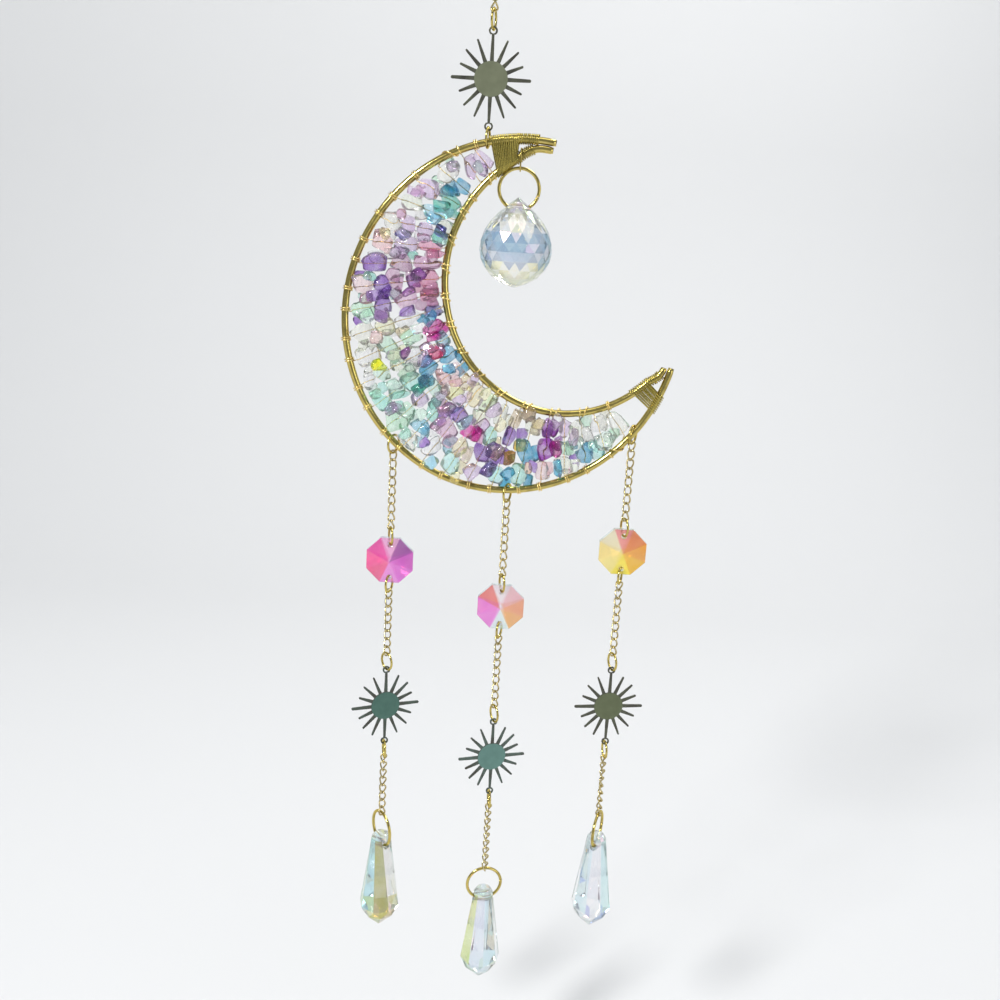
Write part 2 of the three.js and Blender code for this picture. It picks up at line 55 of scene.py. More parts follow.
# Stone colours by name, linear light
STONES = {
    "clear": (0.97, 0.98, 0.97),
    "milk": (0.95, 0.96, 0.90),
    "mint": (0.60, 0.89, 0.76),
    "pale_green": (0.74, 0.90, 0.64),
    "teal": (0.12, 0.52, 0.46),
    "aqua": (0.42, 0.78, 0.80),
    "azure": (0.05, 0.30, 0.60),
    "sky": (0.32, 0.58, 0.84),
    "indigo": (0.07, 0.05, 0.34),
    "violet": (0.24, 0.10, 0.52),
    "purple": (0.22, 0.03, 0.36),
    "lilac": (0.66, 0.48, 0.82),
    "mauve": (0.60, 0.34, 0.58),
    "rose": (0.66, 0.22, 0.42),
    "pink": (0.92, 0.56, 0.68),
    "magenta": (0.58, 0.02, 0.30),
    "wine": (0.50, 0.02, 0.12),
    "peach": (0.94, 0.74, 0.54),
    "salmon": (0.88, 0.50, 0.38),
    "amber": (0.84, 0.46, 0.08),
    "lemon": (0.98, 0.90, 0.46),
    "yellow": (1.0, 0.78, 0.01),
    "taupe": (0.60, 0.46, 0.38),
}

# Which stones go where: the zone's last row, then the mix near the outer wire,
# in the middle and near the inner wire
ZONES = (
    (0, ("lilac", "clear"), ("lilac", "lilac", "mint"), ("mint", "mint", "clear")),
    (1, ("milk", "clear"), ("mint", "lilac", "clear"), ("mint", "sky")),
    (2, ("clear", "mint", "pale_green"), ("milk", "mint"), ("azure", "azure", "sky")),
    (3, ("mauve", "mauve", "lilac"), ("peach", "peach", "milk"), ("teal", "teal", "aqua")),
    (4, ("clear", "lilac", "mauve"), ("azure", "violet", "indigo"), ("clear", "lilac", "sky")),
    (5, ("lemon", "clear", "milk"), ("lilac", "indigo", "clear"), ("indigo", "violet", "aqua")),
    (6, ("milk", "pink", "clear"), ("teal", "lilac", "aqua"), ("rose", "mauve", "indigo")),
    (8, ("pink", "aqua", "violet"), ("aqua", "mauve", "clear"), ("rose", "mauve", "purple")),
    (9, ("clear", "violet", "mint"), ("lilac", "mauve", "violet"), ("mauve", "clear", "rose")),
    (10, ("milk", "mint", "clear"), ("peach", "pink", "clear"), ("indigo", "azure", "violet")),
    (11, ("mint", "clear", "milk"), ("mint", "peach", "purple"), ("magenta", "wine", "magenta")),
    (12, ("mint", "clear", "aqua"), ("mint", "clear", "milk"), ("wine", "lilac", "sky")),
    (13, ("mint", "aqua", "lilac"), ("mint", "teal", "aqua"), ("azure", "azure", "azure")),
    (14, ("mint", "aqua", "mint"), ("aqua", "mint", "lilac"), ("azure", "sky", "pink")),
    (16, ("clear", "violet", "sky"), ("aqua", "violet", "mauve"), ("lilac", "peach", "lemon")),
    (17, ("peach", "lilac", "aqua"), ("mauve", "magenta", "clear"), ("pale_green", "lilac", "clear")),
    (18, ("violet", "lilac", "clear"), ("aqua", "violet", "peach"), ("lilac", "clear", "peach")),
    (20, ("salmon", "azure", "aqua"), ("amber", "violet", "azure"), ("taupe", "peach", "clear")),
    (21, ("magenta", "pink", "azure"), ("magenta", "purple", "violet"), ("clear", "purple", "lilac")),
    (22, ("clear", "violet", "milk"), ("purple", "violet", "mint"), ("clear", "milk", "lilac")),
    (23, ("aqua", "azure", "clear"), ("pink", "lilac", "clear"), ("milk", "clear", "mint")),
    (26, ("mint", "pale_green", "clear"), ("lilac", "milk", "clear"), ("pink", "clear", "milk")),
)


def size(name, description, millimetres):
    return FloatProperty(
        name=name,
        description=description,
        default=millimetres * MM,
        min=0.0,
        unit="LENGTH",
        precision=5,
    )


def colour(name, description, value):
    return FloatVectorProperty(
        name=name, description=description, default=value, size=3, min=0.0, max=1.0, subtype="COLOR"
    )


def angle(name, description, degrees):
    return FloatProperty(
        name=name, description=description, default=math.radians(degrees), unit="ROTATION"
    )


class MetalSettings(bpy.types.PropertyGroup):
    """Rings, chains and suns."""

    gap: size("Play", "Free play where one loop hangs in another", 0.15)
    small_ring: size("Small ring", "Outside width of the small jump rings", 6.0)
    small_wire: size("Small ring wire", "Wire thickness of the small jump rings", 0.7)
    large_ring: size("Large ring", "Outside width of the large jump rings", 12.0)
    large_wire: size("Large ring wire", "Wire thickness of the large jump rings", 0.95)
    link_length: size("Link length", "Outside length of a chain link", 3.55)
    link_width: size("Link width", "Outside width of a chain link", 2.3)
    link_wire: size("Link wire", "Wire thickness of a chain link", 0.45)
    link_swell: size("Link swell", "How much a finished link is thicker than its drawn wire", 0.06)
    sun_plate: size("Sun plate", "Thickness of a sun", 0.5)
    sun_core: size("Sun core", "Radius of a sun's solid middle", 4.5)
    sun_root: size("Ray root", "Width of a ray at the core", 1.1)
    sun_loop_at: size("Sun loop place", "Distance of a sun's loops from its middle", 12.05)
    sun_loop: size("Sun loop", "Outside radius of a sun's loop", 1.2)
    sun_hole: size("Sun hole", "Radius of the hole in a sun's loop", 0.72)
    gold: colour("Gold", "Colour of the gold plated wire", (0.6, 0.48, 0.15))
    chain_gold: colour("Chain gold", "Colour of the fine chain", (0.56, 0.47, 0.24))
    # The four sun colours are painted reflection: the suns are gold plate, painted dark olive and teal as
    # the dark bluish surroundings that each one mirrors
    sun_top: colour("Top sun", "Colour of the upper sun", (0.20, 0.215, 0.135))
    sun_left: colour("Left sun", "Colour of the left sun", (0.07, 0.15, 0.12))
    sun_middle: colour("Middle sun", "Colour of the middle sun", (0.12, 0.23, 0.20))
    sun_right: colour("Right sun", "Colour of the right sun", (0.12, 0.14, 0.075))


class CrescentSettings(bpy.types.PropertyGroup):
    """The two bent wires, their windings and the lacing."""

    radius: size("Crescent radius", "Mean radius of the outer wire's centre line", 48.35)
    wire: size("Frame wire", "Thickness of the two bent wires", 2.0)
    wrap_wire: size("Winding wire", "Thickness of the wire wound on the horns", 0.4)
    string_wire: size("Lacing wire", "Thickness of the wire that carries the stones", 0.36)
    strings: IntProperty(name="Strings", description="Lengths of lacing wire", default=12, min=1)
    chip_neck: size("Stone margin", "Space between a row's end stones and the wire turns", 0.15)


class CrystalSettings(bpy.types.PropertyGroup):
    """Cut crystals."""

    octagon: size("Octagon", "Width of an octagon across its flats", 14.0)
    octagon_thick: size("Octagon thickness", "Thickness of an octagon in its middle", 5.4)
    octagon_edge: size("Octagon edge", "Thickness of an octagon at its rim", 1.5)
    octagon_hole: size("Octagon hole", "Width of an octagon's holes", 1.6)
    octagon_inset: size("Octagon hole place", "Distance of a hole's middle from the rim", 1.9)
    drop_length: size("Drop length", "Length of a long drop", 34.0)
    drop_hole: size("Drop hole", "Width of a drop's hole", 2.4)
    drop_hole_depth: size("Drop hole place", "Depth of a drop's hole below its top", 2.9)
    ball_height: size("Ball height", "Height of the cut ball", 24.5)
    ball_hole: size("Ball hole", "Width of the ball's hole", 2.0)
    ball_hole_depth: size("Ball hole place", "Depth of the ball's hole below its top", 2.9)


class StudioSettings(bpy.types.PropertyGroup):
    """Floor, backdrop and camera."""

    floor_drop: size("Floor", "Distance of the floor below the hanging point", 372.0)
    camera_distance: size("Camera distance", "From the camera to the crescent's plane", 313.45)
    camera_side: size("Camera side", "Camera place to the right of the hanging line", 9.0)
    camera_drop: size("Camera height", "Distance of the camera below the hanging point", 78.6)
    camera_tilt: angle("Camera tilt", "Downward tilt of the camera", 15.35)
    camera_roll: angle("Camera roll", "Roll of the camera", 3.35)
    lens: FloatProperty(name="Lens", description="Focal length", default=39.6, unit="CAMERA")
    paper: colour("Paper", "Colour of the floor and backdrop", (0.66, 0.66, 0.66))


# Shape of each bent wire: share of the crescent's mean radius, how oval it is, the direction
# of its long axis, and where it starts and ends, in degrees round its own middle
OUTER = {"scale": 1.0, "oval": 1.048, "lean": 71.0, "start": 79.5, "end": 347.0}
INNER = {"scale": 0.748, "oval": 1.054, "lean": 82.0, "start": 101.5, "end": 321.5}

# Where each end of the inner wire begins to ease against the outer wire, and where it ends
TAILS = ((117.0, 101.5), (312.5, 321.5))

# The inner wire's middle seen from the outer wire's: share of the mean radius, and bearing
INNER_AWAY = 0.4018
INNER_BEARING = 36.84

# Where the crescent hangs by its outer wire, and the ball on the inner wire
HANG_ANGLE = 101.4
BALL_ANGLE = 115.9

# Each horn: the stretch of the outer and of the inner wire that its band covers, the band's
# turns and seed, then its coils, each with wire, start, end, turns and seed
HORNS = (
    (
        "top_horn_wrap",
        ((100.5, 91.0), (128.2, 117.6)),
        15,
        3,
        ((0, 91.5, 85, 11, 4), (1, 118.5, 110, 10, 6)),
    ),
    (
        "right_horn_wrap",
        ((337.1, 330.2), (312.5, 303.2)),
        9,
        8,
        ((1, 311.5, 318, 8, 2),),
    ),
)

# Gap between a bent wire and the wire wound on it, in millimetres
WRAP_SLACK = 0.14

# The loop that carries the ball's ring, in millimetres, and how far its top is above the inner
# wire's middle, as a share of the wire's half height there
HOOK_LENGTH = 5.6
HOOK_WIDTH = 4.4
HOOK_RISE = 1.7

# Links of the uppermost chain, and turns of the rings below it
HANG_LINKS = 8
TOP_RING_TURN = 80
MOON_RING_TURN = 82

# Each strand: its place on the outer wire, the links of its three chains, the turn of its sun,
# and the turns of its rings from the one on the frame down to the one that carries the drop
STRANDS = (
    ("left", 228.4, (9, 8, 8), 22, (60, 107, 73, 130, 104, 125)),
    ("middle", 271.6, (9, 9, 9), 17, (66, 106, 74, 116, 98, 12)),
    ("right", 320.6, (9, 9, 8), 9, (62, 107, 73, 112, 100, 70)),
)

# Chain links: lean of a link beside the chain's turn, depth of its curb twist as a share of
# its half width, and steps round it
LINK_LEAN = 45
LINK_CURB = 0.62
LINK_STEPS = 24

# Reach and width of a sun's rays, from the upright one round to the level one, in millimetres,
# and the share of that width that their tips have here
RAYS = 16
SUN_RAYS = ((11.1, 0.9), (10.6, 0.7), (10.0, 0.75), (9.2, 0.8), (10.8, 1.1))
RAY_SLIM = 0.78

# Width of the eased edges of the suns, the drops and the other crystals, and length of the
# drill that cuts the bores, in millimetres
SUN_BEVEL = 0.07
DROP_BEVEL = 0.06
CRYSTAL_BEVEL = 0.05
DRILL_LENGTH = 40.0

# Radius and depth below the top, from the top down, in millimetres
DROP_PROFILE = ((2.3, 0.0), (3.1, 1.2), (3.6, 6.5), (6.5, 25.5), (5.3, 28.5))
BALL_RINGS = (
    (2.6, 1.9),
    (5.2, 4.2),
    (7.4, 6.6),
    (9.0, 9.2),
    (9.93, 12.0),
    (10.15, 14.4),
    (9.7, 17.0),
    (8.5, 19.4),
    (6.4, 21.6),
    (3.4, 23.4),
)

# Facet tints of an octagon, clockwise from the facet at its left, painted reflections of its rainbow
# coating as seen from the front, and the body behind them
OCTAGON_PAINTED_REFLECTIONS = {
    "left": (
        (1.0, 0.01, 0.36),
        (0.98, 0.10, 0.44),
        (1.0, 0.55, 0.80),
        (0.42, 0.12, 0.44),
        (0.74, 0.06, 0.66),
        (0.84, 0.12, 0.78),
        (0.95, 0.28, 0.86),
        (0.94, 0.02, 0.30),
    ),
    "middle": (
        (0.84, 0.09, 0.70),
        (0.96, 0.24, 0.22),
        (0.99, 0.90, 0.92),
        (0.99, 0.60, 0.62),
        (0.96, 0.40, 0.24),
        (0.96, 0.46, 0.18),
        (0.84, 0.97, 0.98),
        (0.90, 0.16, 0.78),
    ),
    "right": (
        (1.0, 0.80, 0.28),
        (1.0, 0.92, 0.66),
        (0.97, 0.34, 0.36),
        (0.92, 0.28, 0.12),
        (0.95, 0.36, 0.03),
        (0.98, 0.50, 0.0),
        (1.0, 0.83, 0.05),
        (1.0, 0.86, 0.30),
    ),
}
OCTAGON_BODY = {"left": (1.0, 0.6, 0.85), "middle": (0.98, 0.93, 0.95), "right": (1.0, 0.9, 0.7)}
OCTAGON_RIM = (0.86, 0.95, 0.97)

# Facet tints round a drop's long part, then round its point, painted reflections of its coating and
# surroundings as seen from the front, each counted to the right from the facet in front
DROP_PAINTED_REFLECTIONS = {
    "left": (
        (
            (0.19, 0.27, 0.0),
            (0.80, 0.80, 0.92),
            (0.95, 0.97, 0.90),
            (0.98, 0.70, 0.42),
            (0.92, 0.94, 0.70),
            (0.96, 0.97, 0.95),
            (0.50, 0.88, 0.95),
            (0.26, 0.76, 0.86),
        ),
        ((0.58, 0.56, 0.06), (0.97, 0.62, 0.36), (0.95, 0.97, 0.95), (0.90, 0.94, 0.96)),
    ),
    "middle": (
        (
            (0.82, 0.90, 0.96),
            (0.56, 0.88, 0.92),
            (0.97, 0.98, 0.97),
            (0.95, 0.90, 0.80),
            (0.80, 0.88, 0.96),
            (0.97, 0.97, 0.92),
            (0.98, 0.76, 0.52),
            (0.70, 0.82, 0.20),
        ),
        ((0.72, 0.84, 0.92), (0.95, 0.97, 0.97), (0.99, 0.60, 0.34), (0.50, 0.80, 0.62)),
    ),
    "right": (
        (
            (0.97, 0.98, 0.96),
            (0.50, 0.86, 0.86),
            (0.98, 0.95, 0.84),
            (0.96, 0.97, 0.97),
            (0.92, 0.96, 0.98),
            (0.98, 0.90, 0.78),
            (0.96, 0.98, 0.98),
            (0.62, 0.90, 0.92),
        ),
        ((0.96, 0.97, 0.97), (0.24, 0.36, 0.84), (0.98, 0.94, 0.84), (0.86, 0.95, 0.97)),
    ),
}
DROP_HEAD = (0.86, 0.95, 0.94)

# The ball's blue band, a painted reflection of bluish surroundings, starts between the first two depths and
# ends between the other two, facet by facet, in millimetres
BAND_STARTS = (8.3, 11.0)
BAND_ENDS = (16.5, 18.8)

# Facet tints of the ball's front from the top down, painted reflections in cream and blue, and of its back,
# which is plain
BALL_UPPER = ((1.0, 0.98, 0.66), (1.0, 1.0, 0.96), (1.0, 0.98, 0.84), (0.86, 0.78, 1.0), (1.0, 1.0, 1.0))
BALL_BAND = ((0.16, 0.34, 0.58), (0.24, 0.46, 0.70), (0.34, 0.54, 0.74), (0.26, 0.40, 0.56))
BALL_BAND_PALE = (0.80, 0.86, 0.97)
BALL_LOWER = ((1.0, 0.97, 0.56), (1.0, 0.99, 0.80), (1.0, 0.97, 0.64), (1.0, 1.0, 0.88))
BALL_BACK = (0.97, 0.98, 0.96)

# Rows of stones: the first and the step from row to row on each wire, in degrees,
# and the least on the outer wire
ROWS = 26
ROW_FIRST, ROW_STEP, ROW_LEAST = 102.0, 8.64, 106.0
INNER_ROW_FIRST, INNER_ROW_STEP = 129.5, 6.45

# Least and greatest size of a frame stone and the gap to the next row, in millimetres
CHIP_LENGTH = (4.9, 7.0)
CHIP_WIDTH = (5.2, 7.4)
CHIP_DEPTH = (3.8, 5.6)
CHIP_GAP = 0.3

# Rolls that a stone of the frame uses for its corners, made here too so that both keep step
CHIP_CORNER_ROLLS = 27
CHIP_SEED = 20419
TASTE_SEED = 4711

# Seed for the places of the rings' slits
RING_SEED = 31

# Row that holds a bright yellow stone near the outer wire
BRIGHT_ROW = 11

# Each lamp: name, place, the point that it faces, width in metres and power in watts
LAMPS = (
    ("key", (-0.7, -0.75, 0.55), (0, 0, -0.15), 0.26, 13.0),
    ("fill", (1.0, -0.6, 0.0), (0, 0, -0.15), 0.8, 3.0),
    ("back", (0.35, 0.3, 0.6), (0, 0.1, -0.15), 0.4, 5.0),
    ("paper_glow", (0, -0.1, 0.9), (0, 0.8, -0.1), 0.8, 2.5),
)

Hung = namedtuple("Hung", "kind x z turn extra")
Chip = namedtuple("Chip", "centre along across step length width depth place")


class Dice:
    """Repeatable numbers from 0 to 1."""

    def __init__(self, seed):
        self.state = seed

    def roll(self):
        self.state = (self.state * 16807) % 2147483647
        return self.state / 2147483647

    def between(self, low, high):
        return low + (high - low) * self.roll()

    def pick(self, choices):
        return choices[int(self.roll() * len(choices)) % len(choices)]


def settings():
    """Sizes of the metal parts and of the crescent."""
    return bpy.context.scene.suncatcher_metal, bpy.context.scene.suncatcher_crescent


def crystals():
    return bpy.context.scene.suncatcher_crystals


class Shell:
    """Collects corners and faces for one piece, each face with a material and a tint."""

    def __init__(self):
        self.points = []
        self.faces = []
        self.slots = []
        self.tints = []
        self.smooth = []

    def add(self, points, faces, slot=0, tint=(1.0, 1.0, 1.0), smooth=True):
        base = len(self.points)
        self.points.extend(points)
        self.faces.extend(tuple(base + i for i in face) for face in faces)
        self.slots.extend([slot] * len(faces))
        self.tints.extend([tint] * len(faces))
        self.smooth.extend([smooth] * len(faces))

    def build(self, name, materials):
        """Make the mesh object, with its tints as a colour attribute."""
        mesh = bpy.data.meshes.new(name)
        mesh.from_pydata([tuple(p) for p in self.points], [], self.faces)
        for material in materials:
            mesh.materials.append(material)
        mesh.polygons.foreach_set("material_index", self.slots)
        mesh.polygons.foreach_set("use_smooth", self.smooth)
        layer = mesh.color_attributes.new("tint", "FLOAT_COLOR", "CORNER")
        counts = [len(face) for face in self.faces]
        colours = np.ones((sum(counts), 4), np.float32)
        colours[:, :3] = np.repeat(np.array(self.tints, np.float32), counts, axis=0)
        layer.data.foreach_set("color", colours.ravel())
        mesh.update()
        piece = bpy.data.objects.new(name, mesh)
        bpy.context.scene.collection.objects.link(piece)
        return piece


def place(piece, node):
    """Let a finished piece take the place of its node in the frame."""
    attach(piece, "root")
    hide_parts(node)
    return piece


def tube(path, radius, sides=10, closed=False, normal=None):
    """Round wire along a path; gives its corners and faces."""
    count = len(path)
    path = [Vector(p) for p in path]
    points = []
    side = normal
    for i, here in enumerate(path):
        before = path[i - 1] if i or closed else path[0]
        after = path[(i + 1) % count] if i < count - 1 or closed else path[-1]
        along = (after - before).normalized()
        if side is None:
            side = along.orthogonal()
        side = (side - along * side.dot(along)).normalized()
        up = along.cross(side)
        r = radius[i] if hasattr(radius, "__len__") else radius
        for k in range(sides):
            a = 2 * math.pi * k / sides
            points.append(here + (side * math.cos(a) + up * math.sin(a)) * r)
    faces = []
    shift = 0
    if closed:
        last = points[-sides:]
        gaps = [(points[k] - last[0]).length for k in range(sides)]
        shift = gaps.index(min(gaps))
    for i in range(count if closed else count - 1):
        j = (i + 1) % count
        turn = shift if j == 0 else 0
        for k in range(sides):
            m = (k + 1) % sides
            far = (j * sides + (m + turn) % sides, j * sides + (k + turn) % sides)
            faces.append((i * sides + k, i * sides + m, *far))
    if not closed:
        faces.append(tuple(reversed(range(sides))))
        faces.append(tuple((count - 1) * sides + k for k in range(sides)))
    return points, faces


def ring_path(outer, wire, steps, opening, start):
    """Jump ring in the XZ plane, with a hair-wide slit where its ends meet."""
    radius = (outer - wire) / 2
    path = []
    for i in range(steps + 1):
        a = math.radians(start + opening / 2 + (360 - opening) * i / steps)
        path.append(Vector((radius * math.cos(a), 0, radius * math.sin(a))))
    return path


def moved(points, x, z, turn):
    """Turn points about the upright axis and carry them to their place."""
    spin = Matrix.Rotation(math.radians(turn), 4, "Z")
    away = Vector((x, 0, z))
    return [spin @ Vector(p) + away for p in points]


def on_wire(arc, degrees):
    """Point on the centre line of a bent wire."""
    a = math.radians(degrees)
    lean = a - math.radians(arc["lean"])
    long = math.sqrt(arc["oval"])
    mean = arc["scale"] * bpy.context.scene.suncatcher_crescent.radius
    radius = mean / math.hypot(math.cos(lean) / long, math.sin(lean) * long)
    return Vector((arc["x"] + radius * math.cos(a), 0, arc["z"] + radius * math.sin(a)))


def wire_direction(arc, degrees):
    """Direction along a bent wire, and the one square to it, away from the wire's middle."""
    along = (on_wire(arc, degrees + 0.5) - on_wire(arc, degrees - 0.5)).normalized()
    return along, Vector((along.z, 0, -along.x))


def half_height(arc, degrees):
    """Half the height of an upright cut through a bent wire."""
    wire = bpy.context.scene.suncatcher_crescent.wire
    return wire / 2 / abs(wire_direction(arc, degrees)[0].x)


def radius_at(profile, depth):
    """Radius of a crystal's profile at a depth below its top."""
    last_radius, last_depth = 0.0, 0.0
    for radius, d in profile:
        if depth <= d:
            part = 1.0 if d == last_depth else (depth - last_depth) / (d - last_depth)
            return last_radius + (radius - last_radius) * part
        last_radius, last_depth = radius, d
    return last_radius


def layout():
    """Where each hanging piece is, by name, and the two bent wires, in the frame's hanging order."""
    metal, crescent = settings()
    cut = crystals()
    small_in = metal.small_ring / 2 - metal.small_wire
    large_in = metal.large_ring / 2 - metal.large_wire
    pitch = metal.link_length - 2 * metal.link_wire
    sun_contact = metal.sun_loop_at + metal.sun_hole
    rise = small_in - math.sqrt(small_in**2 - cut.octagon_edge**2)
    octagon_contact = cut.octagon / 2 - cut.octagon_inset + cut.octagon_hole / 2 - rise

    def carried(profile, hole, depth):
        top = depth - hole / 2
        reach = radius_at(profile, top / MM) * MM
        return top + large_in - math.sqrt(large_in**2 - reach**2) + metal.gap

    drop_contact = carried(DROP_PROFILE, cut.drop_hole, cut.drop_hole_depth)
    ball_contact = carried(BALL_RINGS, cut.ball_hole, cut.ball_hole_depth)
    made = {}

    def hang(name, kind, x, contact, above, below, turn=0.0, extra=None):
        made[name] = Hung(kind, x, contact - above + metal.gap, turn, extra)
        return contact + metal.gap - above - below

    def chain(name, links, x, contact, above, below):
        return hang(name, "chain", x, contact, 0, links * pitch, above, (links, below))

    z = hang("hang_ring", "large", 0, -metal.gap, large_in, large_in)
    z = chain("hang_chain", HANG_LINKS, 0, z, 0, TOP_RING_TURN)
    z = hang("top_ring", "small", 0, z, small_in, small_in, TOP_RING_TURN)
    z = hang("top_sun", "sun", 0, z, sun_contact, sun_contact)
    z = hang("moon_ring", "small", 0, z, small_in, small_in, MOON_RING_TURN)
    outer = dict(OUTER, x=0.0, z=0.0)
    point = on_wire(outer, HANG_ANGLE)
    outer["x"] = -point.x
    outer["z"] = z + metal.gap + half_height(outer, HANG_ANGLE) - point.z
    away = INNER_AWAY * crescent.radius
    bearing = math.radians(INNER_BEARING)
    inner = dict(INNER, x=outer["x"] + away * math.cos(bearing), z=outer["z"] + away * math.sin(bearing))

    hook = on_wire(inner, BALL_ANGLE)
    hook_top = hook.z + half_height(inner, BALL_ANGLE) * HOOK_RISE + metal.gap
    made["ball_hook"] = Hung("hook", hook.x, hook_top, 0, None)
    z = hang("ball_ring", "large", hook.x, hook_top - HOOK_LENGTH * MM, large_in, large_in)
    hang("crystal_ball", "ball", hook.x, z, -ball_contact, 0)

    for side, degrees, links, sun_turn, turns in STRANDS:
        at = on_wire(outer, degrees)
        x, z = at.x, at.z + half_height(outer, degrees) + metal.gap
        z = hang(side + "_frame_ring", "small", x, z, small_in, small_in, turns[0])
        z = chain(side + "_upper_chain", links[0], x, z, turns[0], turns[1])
        z = hang(side + "_bead_ring_top", "small", x, z, small_in, small_in, turns[1])
        z = hang(side + "_octagon", "octagon", x, z, octagon_contact, octagon_contact)
        z = hang(side + "_bead_ring_bottom", "small", x, z, small_in, small_in, turns[2])
        z = chain(side + "_middle_chain", links[1], x, z, turns[2], turns[3])
        z = hang(side + "_sun_ring_top", "small", x, z, small_in, small_in, turns[3])
        z = hang(side + "_sun", "sun", x, z, sun_contact, sun_contact, sun_turn)
        z = hang(side + "_sun_ring_bottom", "small", x, z, small_in, small_in, turns[4])
        z = chain(side + "_lower_chain", links[2], x, z, turns[4], turns[5])
        z = hang(side + "_drop_ring", "large", x, z, large_in, large_in, turns[5])
        hang(side + "_drop", "drop", x, z, -drop_contact, 0, turns[5])
    return made, (outer, inner)


def hung(*kinds):
    """Name and place of each hanging piece of the given kinds."""
    made, _ = layout()
    return [(name, spec) for name, spec in made.items() if spec.kind in kinds]


def group(name, inputs, outputs):
    tree = bpy.data.node_groups.new(name, "ShaderNodeTree")
    for label, kind, value in inputs:
        socket = tree.interface.new_socket(label, in_out="INPUT", socket_type=kind)
        socket.default_value = value
    for label, kind in outputs:
        tree.interface.new_socket(label, in_out="OUTPUT", socket_type=kind)
    return tree, tree.nodes.new("NodeGroupInput"), tree.nodes.new("NodeGroupOutput")


def noise(tree, where, scale, detail=3.0, roughness=0.55):
    node = tree.nodes.new("ShaderNodeTexNoise")
    node.inputs["Scale"].default_value = scale
    node.inputs["Detail"].default_value = detail
    node.inputs["Roughness"].default_value = roughness
    tree.links.new(where, node.inputs["Vector"])
    return node.outputs["Fac"]


def ramp(tree, value, low, high, to_low, to_high):
    node = tree.nodes.new("ShaderNodeMapRange")
    for label, number in (("From Min", low), ("From Max", high), ("To Min", to_low), ("To Max", to_high)):
        if isinstance(number, (int, float)):
            node.inputs[label].default_value = number
        else:
            tree.links.new(number, node.inputs[label])
    tree.links.new(value, node.inputs["Value"])
    return node.outputs["Result"]


def blend(tree, factor, first, second, mode="MIX"):
    node = tree.nodes.new("ShaderNodeMix")
    node.data_type = "RGBA"
    node.blend_type = mode
    for socket, value in ((node.inputs[0], factor), (node.inputs[6], first), (node.inputs[7], second)):
        if isinstance(value, (int, float)):
            socket.default_value = value
        elif isinstance(value, tuple):
            socket.default_value = (*value, 1.0)
        else:
            tree.links.new(value, socket)
    return node.outputs[2]


def bump(tree, height, distance, strength=1.0):
    node = tree.nodes.new("ShaderNodeBump")
    node.inputs["Strength"].default_value = strength
    node.inputs["Distance"].default_value = distance
    tree.links.new(height, node.inputs["Height"])
    return node.outputs["Normal"]


def plating_group():
    """Thin bright plating: handling marks, faint tarnish and a slightly uneven surface."""
    tree, given, result = group(
        "worn_plating",
        (
            ("Colour", "NodeSocketColor", (0.8, 0.6, 0.2, 1)),
            ("Tarnish", "NodeSocketColor", (0.3, 0.2, 0.05, 1)),
            ("Tarnish amount", "NodeSocketFloat", 0.5),
            ("Roughness", "NodeSocketFloat", 0.2),
        ),
        (("Colour", "NodeSocketColor"), ("Roughness", "NodeSocketFloat"), ("Normal", "NodeSocketVector")),
    )
    where = tree.nodes.new("ShaderNodeTexCoord").outputs["Object"]
    broad = noise(tree, where, 260.0, 4.0)
    fine = noise(tree, where, 2600.0, 3.0)
    stain = ramp(tree, broad, 0.5, 0.72, 0.0, given.outputs["Tarnish amount"])
    stained = blend(tree, stain, given.outputs["Colour"], given.outputs["Tarnish"])
    tree.links.new(stained, result.inputs["Colour"])
    rough = tree.nodes.new("ShaderNodeMath")
    rough.operation = "MULTIPLY_ADD"
    tree.links.new(ramp(tree, fine, 0.3, 0.7, 0.6, 1.5), rough.inputs[0])
    tree.links.new(given.outputs["Roughness"], rough.inputs[1])
    tree.links.new(ramp(tree, broad, 0.4, 0.75, 0.0, 0.1), rough.inputs[2])
    tree.links.new(rough.outputs[0], result.inputs["Roughness"])
    tree.links.new(bump(tree, noise(tree, where, 1500.0, 4.0), 0.00003, 0.35), result.inputs["Normal"])
    return tree


def crystal_group():
    """Cut crystal: a painted reflection tint on each facet over its body, and faint smears of handling."""
    tree, given, result = group(
        "cut_crystal",
        (("Body", "NodeSocketColor", (1, 1, 1, 1)),),
        (("Colour", "NodeSocketColor"), ("Roughness", "NodeSocketFloat"), ("Normal", "NodeSocketVector")),
    )
    where = tree.nodes.new("ShaderNodeTexCoord").outputs["Object"]
    tint = tree.nodes.new("ShaderNodeAttribute")
    tint.attribute_name = "tint"
    cover = ramp(tree, noise(tree, where, 180.0, 2.0), 0.35, 0.7, 0.85, 1.0)
    tinted = blend(tree, cover, given.outputs["Body"], tint.outputs["Color"])
    tree.links.new(tinted, result.inputs["Colour"])
    smears = noise(tree, where, 420.0, 4.0)
    tree.links.new(ramp(tree, smears, 0.52, 0.8, 0.004, 0.06), result.inputs["Roughness"])
    tree.links.new(bump(tree, noise(tree, where, 900.0, 2.0), 0.00001, 0.12), result.inputs["Normal"])
    return tree


